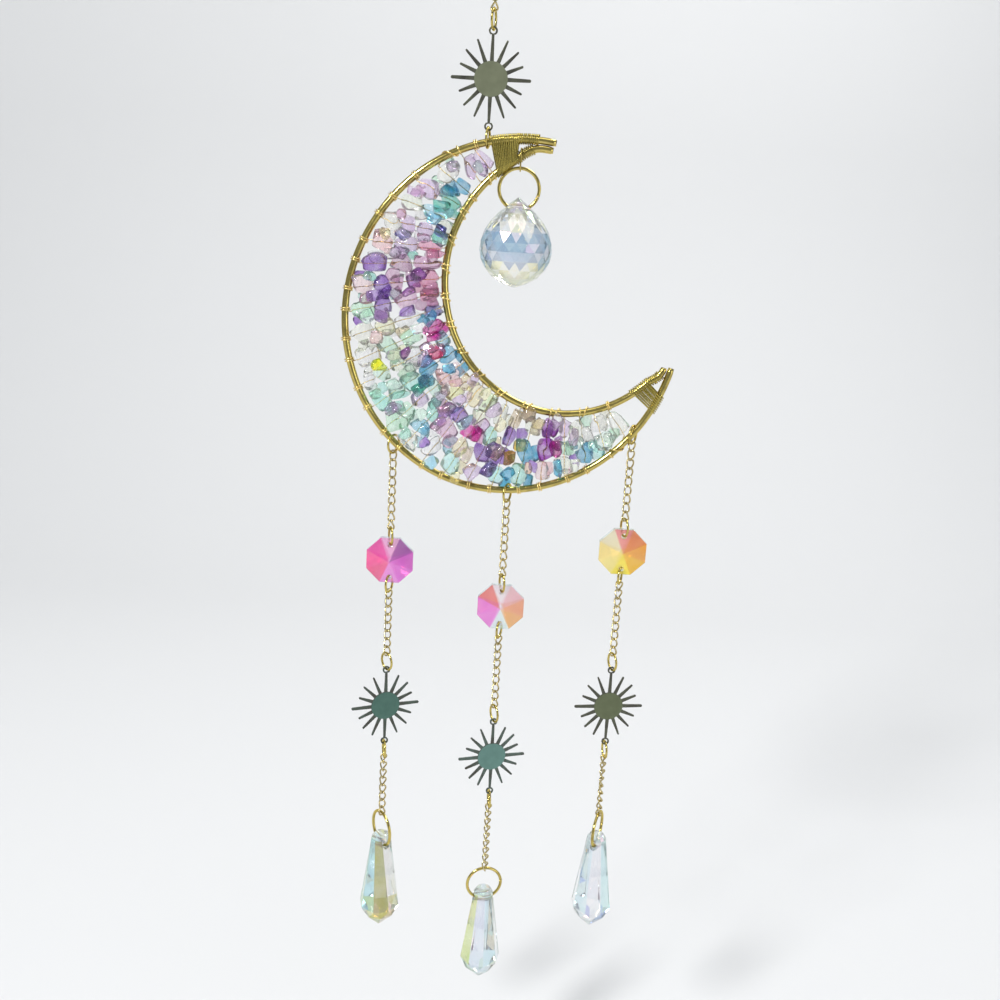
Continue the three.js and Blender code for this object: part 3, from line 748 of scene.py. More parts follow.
def stone_group():
    """Tumbled stone: cloudy body, veins, tiny pits and a soft polish."""
    tree, given, result = group(
        "tumbled_stone",
        (("Cloud", "NodeSocketColor", (0.9, 0.9, 0.88, 1)),),
        (("Colour", "NodeSocketColor"), ("Roughness", "NodeSocketFloat"), ("Normal", "NodeSocketVector")),
    )
    where = tree.nodes.new("ShaderNodeTexCoord").outputs["Object"]
    tint = tree.nodes.new("ShaderNodeAttribute")
    tint.attribute_name = "tint"
    clouds = ramp(tree, noise(tree, where, 320.0, 4.0), 0.42, 0.7, 0.0, 0.6)
    body = blend(tree, clouds, tint.outputs["Color"], given.outputs["Cloud"])
    wave = tree.nodes.new("ShaderNodeTexWave")
    wave.inputs["Scale"].default_value = 260.0
    wave.inputs["Distortion"].default_value = 9.0
    wave.inputs["Detail"].default_value = 3.0
    tree.links.new(where, wave.inputs["Vector"])
    veins = ramp(tree, wave.outputs["Fac"], 0.8, 1.0, 0.0, 0.5)
    darker = blend(tree, 1.0, body, (0.72, 0.7, 0.75), "MULTIPLY")
    tree.links.new(blend(tree, veins, body, darker), result.inputs["Colour"])
    wear = noise(tree, where, 700.0, 4.0)
    tree.links.new(ramp(tree, wear, 0.4, 0.75, 0.01, 0.12), result.inputs["Roughness"])
    pits = noise(tree, where, 420.0, 4.0, 0.5)
    tree.links.new(bump(tree, pits, 0.00008, 0.35), result.inputs["Normal"])
    return tree


def plate_group():
    """Gold plate painted dark as a painted reflection of dark surroundings, with soft lighter blotches at
    random and brushing, and the rays painted darker still.
    """
    tree, given, result = group(
        "dark_plate",
        (
            ("Colour", "NodeSocketColor", (0.1, 0.12, 0.08, 1)),
            ("Ray", "NodeSocketColor", (0.1, 0.09, 0.07, 1)),
            ("Scuff", "NodeSocketColor", (0.4, 0.38, 0.25, 1)),
        ),
        (("Colour", "NodeSocketColor"), ("Roughness", "NodeSocketFloat"), ("Normal", "NodeSocketVector")),
    )
    where = tree.nodes.new("ShaderNodeTexCoord").outputs["Object"]
    tint = tree.nodes.new("ShaderNodeAttribute")
    tint.attribute_name = "tint"
    # Painted reflection: the rays take a darker colour than the middle, though both are the same plate
    plain = blend(tree, tint.outputs["Fac"], given.outputs["Ray"], given.outputs["Colour"])
    # Lighter in soft blotches at random
    blotch = ramp(tree, noise(tree, where, 300.0, 4.0), 0.35, 0.75, 0.0, 0.3)
    body = blend(tree, blotch, plain, given.outputs["Scuff"])
    tree.links.new(body, result.inputs["Colour"])
    stretch = tree.nodes.new("ShaderNodeMapping")
    stretch.inputs["Scale"].default_value = (5200.0, 400.0, 160.0)
    tree.links.new(where, stretch.inputs["Vector"])
    brush = noise(tree, stretch.outputs["Vector"], 1.0, 3.0)
    tree.links.new(ramp(tree, brush, 0.3, 0.7, 0.3, 0.44), result.inputs["Roughness"])
    tree.links.new(bump(tree, brush, 0.00002, 0.3), result.inputs["Normal"])
    return tree


def shared_group(name, maker):
    """A shader group, built the first time that it is asked for."""
    return bpy.data.node_groups.get(name) or maker()


def material(name, tree, values, metallic=0.0, transmission=0.0, **sockets):
    """One finish: a shared group feeding a plain shader whose constants sit on its own sockets."""
    found = bpy.data.materials.get(name)
    if found:
        return found
    made = bpy.data.materials.new(name)
    made.use_nodes = True
    nodes = made.node_tree.nodes
    shader = nodes["Principled BSDF"]
    shader.inputs["Metallic"].default_value = metallic
    shader.inputs["Transmission Weight"].default_value = transmission
    for label, value in sockets.items():
        shader.inputs[label.replace("_", " ")].default_value = value
    look = nodes.new("ShaderNodeGroup")
    look.node_tree = tree
    for label, value in values.items():
        look.inputs[label].default_value = (*value, 1.0) if hasattr(value, "__len__") else value
    for label, target in (("Colour", "Base Color"), ("Roughness", "Roughness"), ("Normal", "Normal")):
        made.node_tree.links.new(look.outputs[label], shader.inputs[target])
    return made


def plating(name, plate, tarnish, amount, roughness, edge=(1.0, 1.0, 1.0)):
    """Plated wire in one colour, with the colour that it has where it turns away."""
    tree = shared_group("worn_plating", plating_group)
    values = {"Colour": tuple(plate), "Tarnish": tarnish, "Tarnish amount": amount, "Roughness": roughness}
    return material(name, tree, values, metallic=1.0, Specular_Tint=(*edge, 1.0))


def gold():
    plate = bpy.context.scene.suncatcher_metal.gold
    return plating("plated_wire", plate, (0.24, 0.17, 0.04), 0.65, 0.13, edge=(0.95, 0.86, 0.5))


def chain_gold():
    plate = bpy.context.scene.suncatcher_metal.chain_gold
    return plating("plated_chain", plate, (0.26, 0.2, 0.09), 0.6, 0.18, edge=(0.85, 0.77, 0.52))


def cut_end():
    return plating("cut_wire_end", (0.16, 0.15, 0.13), (0.05, 0.045, 0.04), 0.6, 0.4)


def binding_gold():
    return plating("binding_wire", (0.46, 0.38, 0.10), (0.15, 0.12, 0.04), 0.7, 0.2, edge=(0.8, 0.7, 0.3))


def lacing_gold():
    return plating("lacing_wire", (0.88, 0.68, 0.26), (0.4, 0.28, 0.08), 0.5, 0.22)


def sun_metal(which):
    metal = bpy.context.scene.suncatcher_metal
    # The sun's colour is painted reflection on gold plate
    value = tuple(getattr(metal, "sun_" + which))
    tree = shared_group("dark_plate", plate_group)
    # Lighter patches at random, in a lighter copy of the sun's colour
    lighter_patch = tuple(min(1.0, 1.6 * v + 0.02) for v in value)
    # The ray colour is painted reflection, darker than the middle
    values = {"Colour": value, "Ray": (0.07, 0.068, 0.055), "Scuff": lighter_patch}
    return material("sun_" + which, tree, values, metallic=0.55)


def crystal(name, body, film, transmission):
    """Cut crystal with a thin bright film, whose thickness is in nanometres."""
    tree = shared_group("cut_crystal", crystal_group)
    return material(
        name,
        tree,
        {"Body": body},
        transmission=transmission,
        IOR=1.6,
        Thin_Film_Thickness=film,
        Thin_Film_IOR=1.9,
    )


def stone():
    tree = shared_group("tumbled_stone", stone_group)
    return material("tumbled_stones", tree, {"Cloud": (0.95, 0.95, 0.94)}, transmission=0.9, IOR=1.33)


def make_ring(name, spec, opening_at):
    """Jump ring, with its slit at the given place round it."""
    metal = bpy.context.scene.suncatcher_metal
    if spec.kind == "small":
        outer, wire, opening = metal.small_ring, metal.small_wire, 1.6
    else:
        outer, wire, opening = metal.large_ring, metal.large_wire, 0.9
    shell = Shell()
    path = ring_path(outer, wire, 56, opening, opening_at)
    points, faces = tube(path, wire / 2, 14, normal=Vector((0, 1, 0)))
    shell.add(moved(points, spec.x, spec.z, spec.turn), faces)
    return place(shell.build("wire_" + name, [gold()]), name)


def make_chain(name, spec):
    """Curb chain, whose links turn little by little from the ring above to the ring below."""
    metal = bpy.context.scene.suncatcher_metal
    links, turn_below = spec.extra
    pitch = metal.link_length - 2 * metal.link_wire
    half_length = (metal.link_length - metal.link_wire) / 2
    half_width = (metal.link_width - metal.link_wire) / 2
    first = spec.turn - LINK_LEAN
    twist = math.fmod(turn_below + LINK_LEAN - first, 180)
    twist += 180 if twist < -90 else -180 if twist > 90 else 0
    shell = Shell()
    dice = Dice(sum(map(ord, name)) + 11)
    for i in range(links):
        wobble = dice.between(-4, 4)
        path = []
        for k in range(LINK_STEPS):
            t = 2 * math.pi * k / LINK_STEPS
            curb = -LINK_CURB * half_width * math.sin(2 * t)
            path.append((half_width * math.cos(t), curb, half_length * math.sin(t)))
        points, faces = tube(path, (metal.link_wire + metal.link_swell) / 2, 8, closed=True)
        turn = first + twist * i / (links - 1) + wobble
        shell.add(moved(points, spec.x, spec.z - pitch * (i + 0.5), turn), faces)
    return place(shell.build("links_" + name, [chain_gold()]), name)


def solid_piece(name, solid, bores, bevel):
    """Piece from a closed solid, with round bores cut through it and its edges eased."""
    mesh = bpy.data.meshes.new(name)
    solid.to_mesh(mesh)
    solid.free()
    piece = bpy.data.objects.new(name, mesh)
    bpy.context.scene.collection.objects.link(piece)
    drills = []
    for i, (centre, axis, width) in enumerate(bores):
        bm = bmesh.new()
        r = width / 2
        bmesh.ops.create_cone(bm, cap_ends=True, segments=20, radius1=r, radius2=r, depth=DRILL_LENGTH * MM)
        turn = Vector((0, 0, 1)).rotation_difference(Vector(axis)).to_matrix().to_4x4()
        bmesh.ops.transform(bm, matrix=Matrix.Translation(centre) @ turn, verts=bm.verts)
        drill_mesh = bpy.data.meshes.new(f"drill_{i}")
        bm.to_mesh(drill_mesh)
        bm.free()
        drill = bpy.data.objects.new(f"drill_{i}", drill_mesh)
        bpy.context.scene.collection.objects.link(drill)
        cut = piece.modifiers.new(f"bore_{i}", "BOOLEAN")
        cut.object = drill
        cut.solver = "EXACT"
        drills.append(drill)
    ease = piece.modifiers.new("ease", "BEVEL")
    ease.width = bevel
    ease.segments = 2
    ease.limit_method = "ANGLE"
    ease.angle_limit = math.radians(4)
    graph = bpy.context.evaluated_depsgraph_get()
    done = bpy.data.meshes.new_from_object(piece.evaluated_get(graph))
    piece.modifiers.clear()
    piece.data = done
    done.name = name
    for drill in drills:
        bpy.data.objects.remove(drill)
    return piece


def hull(points):
    """Solid with flat facets round a set of corners."""
    bm = bmesh.new()
    for p in points:
        bm.verts.new(p)
    bmesh.ops.convex_hull(bm, input=bm.verts)
    loose = [v for v in bm.verts if not v.link_faces]
    bmesh.ops.delete(bm, geom=loose, context="VERTS")
    bmesh.ops.dissolve_limit(bm, angle_limit=math.radians(0.6), verts=bm.verts, edges=bm.edges)
    return bm


def tint_faces(piece, tint_of):
    """Give each face the tint that its middle and its direction ask for."""
    mesh = piece.data
    layer = mesh.color_attributes.new("tint", "FLOAT_COLOR", "CORNER")
    colours = np.ones((len(mesh.loops), 4), np.float32)
    for face in mesh.polygons:
        value = tint_of(face.center, face.normal)
        for loop in face.loop_indices:
            colours[loop, :3] = value
    layer.data.foreach_set("color", colours.ravel())


def settle(piece, spec):
    """Turn a piece made at the origin and carry it to its place."""
    spin = Matrix.Rotation(math.radians(spec.turn), 4, "Z")
    piece.data.transform(Matrix.Translation((spec.x, 0, spec.z)) @ spin)


def sun_rays():
    """Outline of each ray from root to root, the two upright ones with a loop at the tip."""
    metal = bpy.context.scene.suncatcher_metal
    rays = []
    for k in range(RAYS):
        fold = k % (RAYS // 2)
        kind = min(fold, RAYS // 2 - fold)
        reach, tip = SUN_RAYS[kind][0] * MM, SUN_RAYS[kind][1] * MM * RAY_SLIM
        corners = [(metal.sun_core, -metal.sun_root / 2)]
        if kind == 0:
            corners.append((reach, -tip / 2))
            for i in range(1, 20):
                a = math.radians(200 + 320 * i / 20)
                out = metal.sun_loop_at + metal.sun_loop * math.cos(a)
                corners.append((out, metal.sun_loop * math.sin(a)))
            corners.append((reach, tip / 2))
        else:
            for i in range(7):
                a = math.radians(-90 + 30 * i)
                corners.append((reach - tip / 2 + tip / 2 * math.cos(a), tip / 2 * math.sin(a)))
        corners.append((metal.sun_core, metal.sun_root / 2))
        a = math.pi / 2 + k * math.pi / (RAYS // 2)
        turned = [
            (out * math.cos(a) - across * math.sin(a), out * math.sin(a) + across * math.cos(a))
            for out, across in corners
        ]
        rays.append(turned)
    return rays


def make_sun(name, spec, which):
    """Flat sun of gold plate painted dark, its middle and its rays in two colours of painted reflection."""
    metal = bpy.context.scene.suncatcher_metal
    bm = bmesh.new()
    flat, middle = [], []
    for ray in sun_rays():
        corners = [bm.verts.new((px, metal.sun_plate / 2, pz)) for px, pz in ray]
        flat.append(bm.faces.new(corners))
        middle += [corners[0], corners[-1]]
    flat.append(bm.faces.new(middle))
    grown = bmesh.ops.extrude_face_region(bm, geom=flat)
    fresh = [g for g in grown["geom"] if isinstance(g, bmesh.types.BMVert)]
    bmesh.ops.translate(bm, vec=(0, -metal.sun_plate, 0), verts=fresh)
    bmesh.ops.recalc_face_normals(bm, faces=bm.faces)
    bores = [((0, 0, end * metal.sun_loop_at), (0, 1, 0), 2 * metal.sun_hole) for end in (1, -1)]
    piece = solid_piece("plate_" + name, bm, bores, SUN_BEVEL * MM)

    # Painted reflection mask: the middle takes the sun's colour, the rays the darker ray colour
    def tone(centre, normal):
        return (1.0,) * 3 if centre.xz.length < metal.sun_core * 0.9 else (0.0,) * 3

    tint_faces(piece, tone)
    piece.data.materials.append(sun_metal(which))
    for polygon in piece.data.polygons:
        polygon.use_smooth = False
    settle(piece, spec)
    return place(piece, name)


def make_octagon(name, spec, side):
    """Eight-sided crystal, raised to a point on both faces, with a hole at each end."""
    cut = crystals()
    corner = cut.octagon / 2 / math.cos(math.pi / 8)
    points = [(0, y * cut.octagon_thick / 2, 0) for y in (-1, 1)]
    for k in range(8):
        a = math.pi / 8 + k * math.pi / 4
        for y in (-1, 1):
            points.append((corner * math.cos(a), y * cut.octagon_edge / 2, corner * math.sin(a)))
    hole = cut.octagon / 2 - cut.octagon_inset
    bores = [((0, 0, end * hole), (0, 1, 0), cut.octagon_hole) for end in (1, -1)]
    piece = solid_piece("cut_" + name, hull(points), bores, CRYSTAL_BEVEL * MM)

    # Painted reflection: each face takes the coating colour that its direction shows from the front; the
    # rim keeps the rim tint
    def tint_of(centre, normal):
        if abs(normal.y) < 0.5 or centre.xz.length > cut.octagon / 2 * 0.97:
            return OCTAGON_RIM
        sector = round(math.degrees(math.atan2(normal.z, -normal.x)) / 45) % 8
        return OCTAGON_PAINTED_REFLECTIONS[side][sector]

    tint_faces(piece, tint_of)
    finish = crystal("octagon_" + side, OCTAGON_BODY[side], film=380.0, transmission=0.75)
    piece.data.materials.append(finish)
    settle(piece, spec)
    return place(piece, name)


def make_drop(name, spec, side):
    """Long drop: a round head with a hole, eight long facets and a cut point."""
    cut = crystals()
    points = [(0, 0, -cut.drop_length)]
    for level, (radius, depth) in enumerate(DROP_PROFILE):
        sides = 16 if level < 2 else 8
        for k in range(sides):
            a = 2 * math.pi * (k + (0.5 if level == 4 else 0.0)) / sides
            points.append((radius * MM * math.cos(a), radius * MM * math.sin(a), -depth * MM))
    points += [(1.1 * MM * math.cos(k), 1.1 * MM * math.sin(k), 0) for k in range(6)]
    bores = [((0, 0, -cut.drop_hole_depth), (1, 0, 0), cut.drop_hole)]
    piece = solid_piece("cut_" + name, hull(points), bores, DROP_BEVEL * MM)
    long_reflections, point_reflections = DROP_PAINTED_REFLECTIONS[side]

    # Painted reflection: each facet takes a colour by the way it faces once hung; the head keeps its plain
    # tint
    def tint_of(centre, normal):
        facing = math.degrees(math.atan2(normal.y, normal.x)) + spec.turn + 90
        sector = round(facing / 45) % 8
        if centre.z > -DROP_PROFILE[2][1] * MM:
            return DROP_HEAD
        if centre.z < -DROP_PROFILE[3][1] * MM:
            return point_reflections[sector % 4]
        return long_reflections[sector]

    tint_faces(piece, tint_of)
    piece.data.materials.append(crystal("drop_" + side, (0.98, 0.99, 0.98), film=420.0, transmission=0.9))
    settle(piece, spec)
    return place(piece, name)


def ball_painted_reflection(centre, normal):
    """Painted reflection on the ball's front: cream at the top and the bottom, blue round its middle, mixed
    between.
    """
    dice = Dice(int(abs(centre.x * 9.1e6) + abs(centre.y * 5.3e6) + abs(centre.z * 7.7e6)) + 7)
    dice.roll()
    depth = -centre.z / MM
    if normal.y > 0.15:
        return BALL_BACK
    if depth < BAND_STARTS[0] or (depth < BAND_STARTS[1] and dice.roll() < 0.3):
        return dice.pick(BALL_UPPER)
    if depth < BAND_ENDS[0] or (depth < BAND_ENDS[1] and dice.roll() < 0.5):
        return dice.pick(BALL_BAND) if dice.roll() < 0.85 else BALL_BAND_PALE
    return dice.pick(BALL_LOWER)


def make_ball(name, spec):
    """Cut ball with a pointed top and rings of facets, and a hole near its top."""
    cut = crystals()
    points = [(0, 0, 0), (0, 0, -cut.ball_height)]
    for level, (radius, depth) in enumerate(BALL_RINGS):
        sides = 18 if level else 9
        for k in range(sides):
            a = 2 * math.pi * (k + (1 - level % 2) / 2) / sides
            points.append((radius * MM * math.cos(a), radius * MM * math.sin(a), -depth * MM))
    bores = [((0, 0, -cut.ball_hole_depth), (1, 0, 0), cut.ball_hole)]
    piece = solid_piece("cut_" + name, hull(points), bores, CRYSTAL_BEVEL * MM)
    tint_faces(piece, ball_painted_reflection)
    piece.data.materials.append(crystal("ball", (0.99, 0.99, 0.98), film=400.0, transmission=0.85))
    settle(piece, spec)
    return place(piece, name)


def bent(arc, degrees):
    """Point on a bent wire, with the inner wire's tails eased against the outer wire."""
    point = on_wire(arc, degrees)
    if arc["scale"] == OUTER["scale"]:
        return point
    for start, end in TAILS:
        share = (degrees - start) / (end - start)
        if share > 0:
            _, (outer, _) = layout()
            aim = bpy.context.scene.suncatcher_crescent.wire * 1.03
            near = min((on_wire(outer, a / 2) for a in range(150, 700)), key=lambda p: (p - point).length)
            away = point - near
            length = away.length + (aim - away.length) * min(1.0, share * 1.2)
            point = near + away.normalized() * max(aim, length)
    return point


def waver(degrees, phases, slowest, spacing, reach):
    """Slow uneven wave of a wire that was bent by hand."""
    total = 0.0
    for k, phase in enumerate(phases):
        total += math.sin(degrees * (slowest + spacing * k) + phase) / (k + 1.5)
    return total * reach * MM


def frame_wire(name, arc, seed):
    """One of the two bent wires, with its cut ends eased and dull."""
    _, crescent = settings()
    dice = Dice(seed)
    steps = 220
    phases = [dice.between(0, 6.28) for _ in range(6)]
    path = []
    for i in range(steps + 1):
        degrees = arc["start"] + (arc["end"] - arc["start"]) * i / steps
        _, outward = wire_direction(arc, degrees)
        point = bent(arc, degrees) + outward * waver(degrees, phases[:3], 0.05, 0.04, 0.09)
        point.y += waver(degrees, phases[3:], 0.06, 0.05, 0.1)
        path.append(point)
    radius = [crescent.wire / 2] * (steps + 1)
    for k, share in enumerate((0.8, 0.96)):
        radius[k] *= share
        radius[-1 - k] *= share
    shell = Shell()
    points, faces = tube(path, radius, 20, normal=Vector((0, 1, 0)))
    shell.add(points, faces)
    shell.slots[-2:] = [1, 1]
    shell.smooth[-2:] = [False, False]
    return place(shell.build("bent_" + name, [gold(), cut_end()]), name)


def coil_path(arc, start, end, turns, radius, seed):
    """Close turns round one bent wire."""
    dice = Dice(seed)
    path = []
    per_turn = 14
    wobble = [dice.between(-0.12, 0.12) for _ in range(turns + 3)]
    for i in range(turns * per_turn + 1):
        turn = i / per_turn
        shift = wobble[int(turn)] + (wobble[int(turn) + 1] - wobble[int(turn)]) * (turn % 1)
        degrees = start + (end - start) * (turn + shift) / turns
        _, outward = wire_direction(arc, degrees)
        a = 2 * math.pi * turn
        point = bent(arc, degrees) + outward * radius * math.cos(a)
        point.y -= radius * math.sin(a)
        path.append(point)
    return path


def band_path(arcs, stretches, turns, radius, seed):
    """Close turns laid round both bent wires together."""
    dice = Dice(seed)
    drift = [dice.between(-0.1, 0.1) for _ in range(turns + 1)]
    outer, inner = arcs
    (outer_start, outer_end), (inner_start, inner_end) = stretches
    path = []
    bend = 8
    for turn in range(turns):
        for k in range(2 * (bend + 1)):
            done = k / (2 * (bend + 1))
            part = (turn + done + drift[turn] * (1 - done) + drift[turn + 1] * done) / turns
            upper = on_wire(outer, outer_start + (outer_end - outer_start) * part)
            lower = on_wire(inner, inner_start + (inner_end - inner_start) * part)
            away = (upper - lower).normalized()
            if k <= bend:
                a = math.pi * (-0.5 + k / bend)
                point = upper + away * radius * math.cos(a)
            else:
                a = math.pi * (0.5 + (k - bend - 1) / bend)
                point = lower + away * radius * math.cos(a)
            point.y += radius * math.sin(a)
            path.append(point)
    return path


def round_wire(arc, degrees, turn, facing, radius):
    """Point beside a bent wire, turned round it from the side that faces the lacing."""
    _, outward = wire_direction(arc, degrees)
    a = math.radians(turn)
    point = on_wire(arc, degrees) + outward * facing * radius * math.cos(a)
    point.y -= radius * math.sin(a)
    return point


def lacing(row):
    """Where a row meets the outer and the inner wire, in degrees."""
    return max(ROW_LEAST, ROW_FIRST + ROW_STEP * row), INNER_ROW_FIRST + INNER_ROW_STEP * row


def turn_radius(slack):
    """Radius of the lacing wire's turns round a bent wire, with some slack in millimetres."""
    _, crescent = settings()
    return crescent.wire / 2 + crescent.string_wire / 2 + slack * MM


def chips_of_row(arcs, row, dice):
    """Place and size of the stones on one row, from the outer wire inwards."""
    outer, inner = arcs
    here, following = lacing(row), lacing(row + 1)
    _, crescent = settings()
    margin = crescent.chip_neck
    start = round_wire(outer, here[0], 0, -1, turn_radius(0.3))
    along = round_wire(inner, here[1], 0, 1, turn_radius(0.3)) - start
    length = (along.length - 2 * margin) / MM
    along.normalize()
    start = start + along * margin
    across = Vector((along.z, 0, -along.x))
    ahead = [(on_wire(arc, following[k]) - on_wire(arc, here[k])).dot(across) for k, arc in enumerate(arcs)]
    spread = [abs(distance) / MM for distance in ahead]
    count = max(1, math.floor(length / dice.between(*CHIP_LENGTH) + 0.5))
    shares = [dice.between(*CHIP_LENGTH) for _ in range(count)]
    total = sum(shares)
    chips = []
    at = 0.0
    for share in shares:
        part = share * length / total
        room = spread[0] + (spread[1] - spread[0]) * (at + part / 2) / length
        width = min(room - CHIP_GAP, dice.between(*CHIP_WIDTH))
        depth = dice.between(*CHIP_DEPTH)
        for _ in range(CHIP_CORNER_ROLLS):
            dice.roll()
        centre = start + along * (at + part / 2) * MM
        step = across * room * (1 if ahead[0] > 0 else -1)
        chips.append(Chip(centre, along, across, step, part, width, depth, (at + part / 2) / length))
        at += part
    return chips


def even_directions(detail):
    """Directions spread evenly all round, and the faces between them."""
    bm = bmesh.new()
    bmesh.ops.create_icosphere(bm, subdivisions=detail, radius=1.0)
    directions = np.array([v.co[:] for v in bm.verts])
    faces = [tuple(v.index for v in f.verts) for f in bm.faces]
    bm.free()
    return directions, faces


def pebble(directions, length, width, depth, dice):
    """Tumbled chip: a rough block of random planes whose edges the tumbling has rounded."""
    normals, offsets = [], []
    for axis in range(3):
        for end in (-1, 1):
            n = [dice.between(-0.28, 0.28) for _ in range(3)]
            n[axis] = end
            normals.append(n)
            offsets.append(dice.between(0.86, 1.0))
    for _ in range(5):
        normals.append([dice.between(-1, 1) for _ in range(3)])
        offsets.append(dice.between(0.72, 1.0))
    normals = np.array(normals)
    normals /= np.linalg.norm(normals, axis=1, keepdims=True)
    facing = np.clip(directions @ normals.T, 0, None) / np.array(offsets)
    sharp = dice.between(12, 26)
    reach = (facing**sharp).sum(axis=1) ** (-1 / sharp)
    shape = directions * reach[:, None]
    shape /= np.abs(shape).max(axis=0)
    return shape * np.array([length, width, depth]) / 2


def stone_name(row, part, dice):
    """A stone from the mix for this row and this share of the way to the inner wire."""
    for last, outer, middle, inner in ZONES:
        if row <= last:
            return dice.pick(outer if part < 0.34 else middle if part < 0.67 else inner)
    return "clear"


def string_path(arcs, first, count):
    """The lacing wire: turns round the frame wires, with a straight run to and fro for each row."""
    outer, inner = arcs
    path, thickness = [], []
    radius = turn_radius(0.1)
    wire = bpy.context.scene.suncatcher_crescent.string_wire / 2

    def wind(arc, a, b, start, end, facing):
        steps = max(2, round(abs(end - start) / 24))
        for i in range(steps + 1):
            part = i / steps
            path.append(round_wire(arc, a + (b - a) * part, start + (end - start) * part, facing, radius))
            thickness.append(wire * (0.62 if i in (0, steps) else 1.12))

    rows = [lacing(first + i) for i in range(count)]
    wind(outer, rows[0][0] - 1.4, rows[0][0], -720, 0, -1)
    for i in range(count):
        inward = i % 2 == 0
        arc, k, facing = (inner, 1, 1) if inward else (outer, 0, -1)
        here = rows[i][k]
        if i < count - 1:
            near = 1.2 if rows[i + 1][k] > here else -1.2
            wind(arc, here, here + near, 0, 360, facing)
            wind(arc, here + near, rows[i + 1][k], 360, 720, facing)
        else:
            wind(arc, here, here + 1.4, 0, 720, facing)
    return path, thickness


def stones_at(row, chip, taste):
    """The stone on the wire and the two loose beside it, each with name, place, sizes and sway."""
    names = [stone_name(row, chip.place, taste) for _ in range(3)]
    if row == BRIGHT_ROW and chip.place < 0.2:
        names[1] = "yellow"
    length = chip.length * taste.between(0.9, 1.15)
    width = chip.width * taste.between(0.85, 1.1)
    stones = [(chip.centre, (length, width, chip.depth), 0.6)]
    for side in (-1.5, 1.5) if row < ROWS - 1 else ():
        down = chip.step * taste.between(0.3, 0.7)
        beside = chip.along * taste.between(-0.6, 0.5) * chip.length
        spot = chip.centre + (down + beside) * MM
        spot.y += side * MM
        stones.append((spot, (taste.between(3.4, 5.8), taste.between(2.7, 4.3), 2.7), 0.3))
    return [(name, *stone) for name, stone in zip(names, stones)]


def stone_shade(name, taste):
    """Colour of one stone, a little lighter or darker than its kind."""
    shade = np.array(STONES[name]) ** 0.72 * (1.06, 1.1, 0.98) * taste.between(0.9, 1.15)
    return tuple(np.clip(shade, 0.004, 0.985))


def make_string(arcs, index, first, count, dice, taste, directions, stone_faces):
    """One length of lacing wire with its rows of stones."""
    name = f"bead_string_{index + 1:02d}"
    shell = Shell()
    path, thickness = string_path(arcs, first, count)
    shell.add(*tube(path, thickness, 8), slot=1)
    for row in range(first, first + count):
        for chip in chips_of_row(arcs, row, dice):
            axes = np.array([chip.along[:], chip.across[:], (0, 1, 0)])
            for kind, spot, sizes, sway in stones_at(row, chip, taste):
                shape = pebble(directions, *sizes, taste)
                tilt = Matrix.Rotation(taste.between(-0.6, 0.6), 3, "X")
                tilt = tilt @ Matrix.Rotation(taste.between(-0.45, 0.45), 3, "Z")
                spot = np.array(spot[:])
                spot[1] += taste.between(-sway, sway) * MM
                points = shape @ np.array(tilt).T @ axes * MM + spot
                shell.add([Vector(p) for p in points], stone_faces, tint=stone_shade(kind, taste))
    piece = shell.build("laced_" + name, [stone(), lacing_gold()])
    return place(piece, name)


def make_windings(name, paths):
    """Binding wire wound on one horn."""
    _, crescent = settings()
    shell = Shell()
    for path in paths:
        shell.add(*tube(path, crescent.wrap_wire / 2, 8))
    return place(shell.build("wound_" + name, [binding_gold()]), name)


def make_hook(name, spec):
    """Long loop of thin wire over the inner wire, which carries the ball's ring."""
    _, crescent = settings()
    fine = crescent.wrap_wire / 2
    half = HOOK_WIDTH / 2 * MM - fine
    path = []
    for k in range(48):
        a = 2 * math.pi * k / 48
        up = half * math.sin(a) - half + fine
        if math.sin(a) <= 0:
            up -= HOOK_LENGTH * MM + 2 * fine - 2 * half
        path.append((spec.x, half * math.cos(a), spec.z + up))
    shell = Shell()
    shell.add(*tube(path, fine, 10, closed=True, normal=Vector((1, 0, 0))))
    return place(shell.build("loop_" + name, [gold()]), name)


def make_paper():
    """Sheet of paper that is the floor and curves up into the backdrop."""
    studio = bpy.context.scene.suncatcher_studio
    profile = [(-1.2, 0.0), (0.45, 0.0)]
    for k in range(1, 13):
        a = math.radians(90 * k / 12)
        profile.append((0.45 + 0.35 * math.sin(a), 0.35 - 0.35 * math.cos(a)))
    profile.append((0.8, 1.6))
    points = [Vector((x, y, up - studio.floor_drop)) for y, up in profile for x in (-1.6, 1.6)]
    faces = [(2 * i, 2 * i + 1, 2 * i + 3, 2 * i + 2) for i in range(len(profile) - 1)]
    shell = Shell()
    shell.add(points, faces)
    paper = bpy.data.materials.new("paper")
    paper.use_nodes = True
    shader = paper.node_tree.nodes["Principled BSDF"]
    shader.inputs["Base Color"].default_value = (*studio.paper, 1.0)
    shader.inputs["Roughness"].default_value = 0.9
    shell.build("paper_sweep", [paper])


